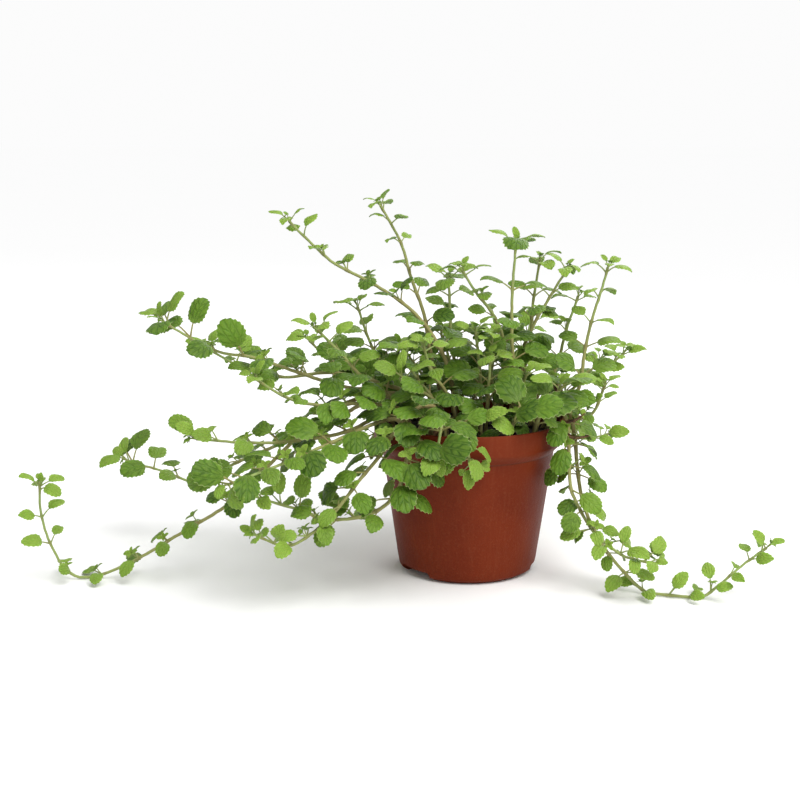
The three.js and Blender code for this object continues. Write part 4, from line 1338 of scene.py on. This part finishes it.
def place_about(reach, turn, height):
    """The place at a reach and an angle in degrees about the pot's axis, in metres."""
    way = turn * DEGREE
    return (reach * math.cos(way) * MM, reach * math.sin(way) * MM, height * MM)


def notch_cutter(turn):
    """A rounded block that leaves a drain notch in the pot's foot."""
    reach = WALL_FOOT_RADIUS - NOTCH_DEPTH / 2 + NOTCH_OVERCUT
    place = place_about(reach, turn, 0)
    cutter = add_primitive("cube", size=1, location=place, rotation=(0, 0, turn * DEGREE))
    depth = NOTCH_DEPTH + 2 * NOTCH_OVERCUT
    cutter.scale = (depth * MM, NOTCH_WIDTH * MM, NOTCH_HEIGHT * 2 * MM)
    apply_place(cutter)
    bevel(cutter, NOTCH_ROUNDING * MM, 4, 30)
    return cutter


def drain_cutter(turn):
    """A rod that leaves a drain hole over a notch."""
    cutter = add_primitive(
        "cylinder",
        vertices=DRAIN_SIDES,
        radius=DRAIN_RADIUS * MM,
        depth=NOTCH_HEIGHT * 4 * MM,
        location=place_about(WALL_FOOT_RADIUS - DRAIN_INSET, turn, NOTCH_HEIGHT),
    )
    apply_place(cutter)
    return cutter


class PLANT_OT_pot(bpy.types.Operator):
    """Adds the moulded pot, with its rim band, foot notches and drain holes"""

    bl_idname = "plant.add_pot"
    bl_label = "Pot"

    def execute(self, context):
        outside = pot_outside()
        floor = NOTCH_HEIGHT + POT_WALL
        inside = [(radius - POT_WALL, height) for radius, height in outside[::-1]]
        inside = [point for point in inside if point[1] > floor]
        path = outside + inside + [(inside[-1][0] - FLOOR_EASE, floor)]
        radius, height = path[0]
        pot = add_primitive(
            "circle",
            vertices=POT_SIDES,
            radius=radius * MM,
            fill_type="NGON",
            location=(0, 0, height * MM),
        )
        pot.name = "pot_shell"
        bpy.ops.object.mode_set(mode="EDIT")
        extrude_along(path)
        close_up()
        apply_place(pot)
        bevel(pot, sizes_of(context).lip, 3, 20)
        for cutter in (notch_cutter, drain_cutter):
            for turn in NOTCH_TURNS:
                cut(pot, cutter(turn))
        pot.data.materials.clear()
        pot.data.materials.append(plastic_material(colours_of(context)))
        smooth(pot, 30)
        hold(pot, "pot", "pot")
        return {"FINISHED"}


SOIL_CELLS = 90
SOIL_CROWN = 2
SOIL_LIFT = 1
# The soil's lumps: how many to a metre, where they are cut, and their share of the height.
LUMPS = ((60, 0.3, 0.35), (260, 1.7, 0.3))

# Crumbs: how far they keep from the wall, their size and stretch as a least and a spread, how often
# each is turned over, and how far it stands out of the soil.
CRUMB_SEED = 901
CRUMB_INSET = 3
CRUMB_SIZE = (0.6, 1.5)
CRUMB_STRETCH = (0.6, 0.8)
CRUMB_TUMBLE = 5
CRUMB_RISE = 0.3


def ground(x, y, lump):
    """The height of the lumpy soil at a place, in metres."""
    rise = sum(part * noise.noise(Vector((x * scale, y * scale, z))) for scale, z, part in LUMPS)
    return SOIL_TOP * MM + rise * lump


def soil_radius(height):
    """The radius of the soil at a height, inside the pot's wall."""
    wall = np.interp(height, POT_PROFILE[:, 1], POT_PROFILE[:, 0])
    return float(wall) - POT_WALL - SOIL_GAP


class PLANT_OT_soil(bpy.types.Operator):
    """Adds the peat, with a lumpy top that the shoots grow from, and loose crumbs on it"""

    bl_idname = "plant.add_soil"
    bl_label = "Soil"

    def execute(self, context):
        radius = soil_radius(SOIL_TOP - SOIL_CROWN)
        cells = {"x_subdivisions": SOIL_CELLS, "y_subdivisions": SOIL_CELLS}
        soil = add_primitive("grid", size=2, **cells)
        soil.name = "soil_peat"
        lump = sizes_of(context).soil_lump
        for vertex in soil.data.vertices:
            x, y = vertex.co.x, vertex.co.y
            flat_x = x * math.sqrt(1 - y * y / 2) * radius * MM
            flat_y = y * math.sqrt(1 - x * x / 2) * radius * MM
            vertex.co = (flat_x, flat_y, ground(flat_x, flat_y, lump))
        path = [(radius, SOIL_TOP)]
        for height in (POT_HEIGHT - RIM_BAND - RIM_SLOPE, FOOT_ROUNDING + SOIL_LIFT):
            path.append((soil_radius(height), height))
        bpy.ops.object.mode_set(mode="EDIT")
        bpy.ops.mesh.select_all(action="SELECT")
        bpy.ops.mesh.region_to_loop()
        extrude_along(path)
        bpy.ops.mesh.edge_face_add()
        close_up()
        soil.data.materials.append(peat_material(colours_of(context)))
        smooth(soil, 50)
        hold(soil, "soil", "soil")
        crumbs = self.add_crumbs(radius, sizes_of(context).crumbs, lump)
        crumbs.data.materials.append(soil.data.materials[0])
        hold(crumbs, "soil")
        return {"FINISHED"}

    def add_crumbs(self, radius, count, lump):
        """Copies of one crumb, turned and stretched, on the soil inside the rim."""
        draw = draw_from(CRUMB_SEED)
        crumbs = add_primitive("ico_sphere", subdivisions=1, radius=1)
        crumbs.name = "soil_crumbs"
        pattern = np.array([vertex.co[:] for vertex in crumbs.data.vertices])
        faces = [list(face.vertices) for face in crumbs.data.polygons]
        points, all_faces = [], []
        for i in range(count):
            reach = (radius - CRUMB_INSET) * math.sqrt(next(draw)) * MM
            turn = next(draw) * 2 * math.pi
            x, y = reach * math.cos(turn), reach * math.sin(turn)
            size = (CRUMB_SIZE[0] + CRUMB_SIZE[1] * next(draw) ** 2) * MM
            stretch = [CRUMB_STRETCH[0] + CRUMB_STRETCH[1] * next(draw) for _ in range(3)]
            shape = pattern * np.array(stretch) * size
            tumble = Matrix.Rotation(turn * CRUMB_TUMBLE, 3, "X")
            shape = np.array([tumble @ Vector(point) for point in shape])
            points.append(shape + np.array([x, y, ground(x, y, lump) + size * CRUMB_RISE]))
            all_faces += [[index + i * len(pattern) for index in face] for face in faces]
        crumbs.data.clear_geometry()
        crumbs.data.from_pydata(np.concatenate(points).tolist(), [], all_faces)
        crumbs.data.update()
        return crumbs


SHOOT_SEED = 300
DRY_SEED = 77

# Side shoots: the share of joints without one, the age past which none grows, how they shorten with
# age, how steeply they try to rise, how far they lean out with their leaf and ahead with the stem,
# where their middle, end and head are as shares of their length, and how much a shoot at the tip has
# of it. One that would run along its leaf is left out, and the one at the tip always faces a little up.
BARE_JOINTS = 0.35
LAST_SIDE_SHOOT = 0.85
SIDE_LENGTH = (0.8, 1.9)
SIDE_RISES = (0.9, 0.4, 1.6)
SIDE_OUT = 0.5
SIDE_AHEAD = 0.4
SIDE_MIDDLE = 0.6
SIDE_END = 1.25
SIDE_HEAD = 0.4
SIDE_ALONG_LEAF = 0.1
TIP_BUD = 0.8
FACE_NUDGE = 1e-3


class PLANT_OT_shoots(bpy.types.Operator):
    """Grows every shoot: its stem with the leaf stalks, and its leaves with the small buds"""

    bl_idname = "plant.add_shoots"
    bl_label = "Shoots"

    def execute(self, context):
        colours = colours_of(context)
        top = leaf_material("leaf top", colours, False)
        under = leaf_material("leaf underside", colours, True)
        skin = stem_material(colours)
        plant = Plant([Stem(shoot) for shoot in SHOOTS])
        grown = [plant.grow(i) for i in range(len(SHOOTS))]
        bud = sizes_of(context).bud / MM
        for i, (stem, leaves) in enumerate(zip(plant.stems, grown)):
            blades, stalks = Surface(), Surface()
            draw = draw_from(SHOOT_SEED + i)
            add_stem(stalks, stem, leaves, draw)
            for leaf in leaves:
                add_leaf(blades, stalks, leaf, draw)
            self.add_buds(plant, i, leaves, blades, stalks, bud, draw)
            for surface, part, slot, materials in (
                (blades, "leaves", "leaf", (top, under)),
                (stalks, "stem", "stem", (skin,)),
            ):
                piece = surface.finish(f"{stem.name}_{part}", materials)
                smooth(piece, 50)
                hold(piece, slot, stem.name)
        return {"FINISHED"}

    def add_buds(self, plant, owner, leaves, blades, stalks, size, draw):
        """A bud at the shoot's tip, and small side shoots in some of its leaf joints."""
        stem = plant.stems[owner]
        point, ahead = stem.at(stem.length)
        face = light_at(point[2])
        face = unit(face - ahead * face.dot(ahead) + FACE_NUDGE * UP)
        add_bud(blades, stalks, point, ahead, face, size * TIP_BUD, draw)
        for leaf in leaves:
            if next(draw) < BARE_JOINTS or leaf.age > LAST_SIDE_SHOOT:
                continue
            length = size * (SIDE_LENGTH[0] + SIDE_LENGTH[1] * next(draw) * (1 - leaf.age))
            for rise in SIDE_RISES:
                way = unit(leaf.axis * SIDE_OUT + leaf.tangent * SIDE_AHEAD + UP * rise)
                across = np.cross(way, leaf.axis)
                if np.linalg.norm(across) < SIDE_ALONG_LEAF:
                    continue
                face = unit(np.cross(across, way))
                end = leaf.point + way * length * SIDE_END
                middle = leaf.point + way * length * SIDE_MIDDLE
                if plant.is_free(middle, end, length * SIDE_HEAD):
                    add_bud(blades, stalks, leaf.point, way, face, length, draw)
                    plant.heads.append((end, length * SIDE_HEAD))
                    break


class PLANT_OT_dry_leaves(bpy.types.Operator):
    """Adds the few withered leaves that cling to the stems at the pot's rim"""

    bl_idname = "plant.add_dry_leaves"
    bl_label = "Dry leaves"

    # The shoot that each clings to, how far along it, its length, and the way it hangs.
    CLINGING = [
        ("trailing_shoot_right", 37, 12, (0.6, -0.8, 0.5)),
        ("trailing_shoot_right", 42, 10, (0.8, -0.6, 0.3)),
        ("trailing_shoot_right_inner", 48, 12, (0.85, -0.4, -0.3)),
        ("trailing_shoot_right_inner", 56, 14, (0.85, -0.3, -0.8)),
        ("rim_shoot_right", 24, 10, (0.4, -0.5, -1.0)),
        ("hanging_shoot_front_left", 20, 8, (-0.5, -0.6, -0.7)),
    ]

    def execute(self, context):
        stems = {shoot[0]: Stem(shoot) for shoot in SHOOTS}
        draw = draw_from(DRY_SEED)
        blades = Surface()
        for name, along, length, way in self.CLINGING:
            point, ahead = stems[name].at(along)
            axis = unit(np.array(way))
            face = unit(np.cross(np.cross(axis, ahead), axis))
            shape = {**DRY_BENDS, "phase": 6 * next(draw)}
            base = point + axis * STEM_RADIUS
            add_blade(blades, base, axis, face, length / 2, shape, next(draw), 0.0)
        material = dry_material(colours_of(context))
        piece = blades.finish("dry_leaves", (material, material))
        smooth(piece, 40)
        hold(piece, "leaf")
        return {"FINISHED"}


class PLANT_OT_stage(bpy.types.Operator):
    """Adds the pale floor, the soft lights and the camera"""

    bl_idname = "plant.add_stage"
    bl_label = "Stage"

    CAMERA_PLACE = (-0.0435, -0.85, 0.2755)
    CAMERA_TILT = 11.08
    LENS = 61.155
    SENSOR = 36.0
    # Each light's name, place, size, power in watts and colour. All look at the middle of the plant.
    LIGHTS = [
        ("key", (0.6, -0.9, 1.0), 0.7, 9, (1.0, 0.985, 0.96)),
        ("back", (0.5, 1.0, 0.9), 0.8, 6, (1.0, 1.0, 1.0)),
    ]
    FLOOR_SIZE = 60
    SUN_ANGLE = 40
    SUN_STRENGTH = 1.5
    SUN_TURN = (22, 16, 0)
    SKY = 0.62
    SKY_SEEN = 0.972

    def execute(self, context):
        floor = add_primitive("plane", size=self.FLOOR_SIZE)
        floor.name = "studio_floor"
        floor.data.materials.append(floor_material(colours_of(context)))
        aim = (Vector(CAD_BOX[0]) + Vector(CAD_BOX[1])) / 2
        for name, place, size, power, colour in self.LIGHTS:
            light = bpy.data.lights.new(name, "AREA")
            light.size = size
            light.energy = power
            light.color = colour
            turn = (aim - Vector(place)).to_track_quat("-Z", "Y").to_euler()
            self.stand(context, light, place, turn)
        sun = bpy.data.lights.new("overhead", "SUN")
        sun.energy = self.SUN_STRENGTH
        sun.angle = self.SUN_ANGLE * DEGREE
        self.stand(context, sun, (0, 0, 0), [turn * DEGREE for turn in self.SUN_TURN])
        lens = bpy.data.cameras.new("camera")
        lens.lens = self.LENS
        lens.sensor_width = self.SENSOR
        turn = ((90 - self.CAMERA_TILT) * DEGREE, 0, 0)
        context.scene.camera = self.stand(context, lens, self.CAMERA_PLACE, turn)
        context.scene.world = self.white_studio()
        context.scene.view_settings.view_transform = "Standard"
        return {"FINISHED"}

    def stand(self, context, data, place, turn):
        """Sets a light or camera in the scene."""
        made = bpy.data.objects.new(data.name, data)
        made.location = place
        made.rotation_euler = turn
        context.scene.collection.objects.link(made)
        return made

    def white_studio(self):
        """White surroundings that show as white and light the plant more softly."""
        world = bpy.data.worlds.new("white studio")
        world.use_nodes = True
        tree = world.node_tree
        seen = add_node(tree, "ShaderNodeLightPath").outputs["Is Camera Ray"]
        range_of = {"Value": seen, "To Min": self.SKY, "To Max": self.SKY_SEEN}
        strength = add_node(tree, "ShaderNodeMapRange", range_of)
        sky = tree.nodes["Background"]
        sky.inputs["Color"].default_value = (1.0, 1.0, 1.0, 1.0)
        tree.links.new(strength.outputs[0], sky.inputs["Strength"])
        return world


class PLANT_PT_panel(bpy.types.Panel):
    bl_label = "Potted creeping plant"
    bl_idname = "PLANT_PT_panel"
    bl_space_type = "VIEW_3D"
    bl_region_type = "UI"
    bl_category = "Potted plant"

    def draw(self, context):
        for group in (sizes_of(context), colours_of(context)):
            for name in group.bl_rna.properties.keys():
                if name not in ("rna_type", "name"):
                    self.layout.prop(group, name)
        for operator in OPERATORS:
            self.layout.operator(operator.bl_idname)


OPERATORS = (
    PLANT_OT_stage,
    PLANT_OT_pot,
    PLANT_OT_soil,
    PLANT_OT_shoots,
    PLANT_OT_dry_leaves,
)
CLASSES = (PlantColours, PlantSizes, *OPERATORS, PLANT_PT_panel)


def register():
    for kind in CLASSES:
        bpy.utils.register_class(kind)
    bpy.types.Scene.plant_colours = bpy.props.PointerProperty(type=PlantColours)
    bpy.types.Scene.plant_sizes = bpy.props.PointerProperty(type=PlantSizes)


def unregister():
    del bpy.types.Scene.plant_sizes
    del bpy.types.Scene.plant_colours
    for kind in reversed(CLASSES):
        bpy.utils.unregister_class(kind)


def main():
    register()
    make_mottle()
    make_nerves()
    bpy.ops.plant.add_stage()
    bpy.ops.plant.add_pot()
    bpy.ops.plant.add_soil()
    bpy.ops.plant.add_shoots()
    bpy.ops.plant.add_dry_leaves()


if __name__ == "__main__":
    main()
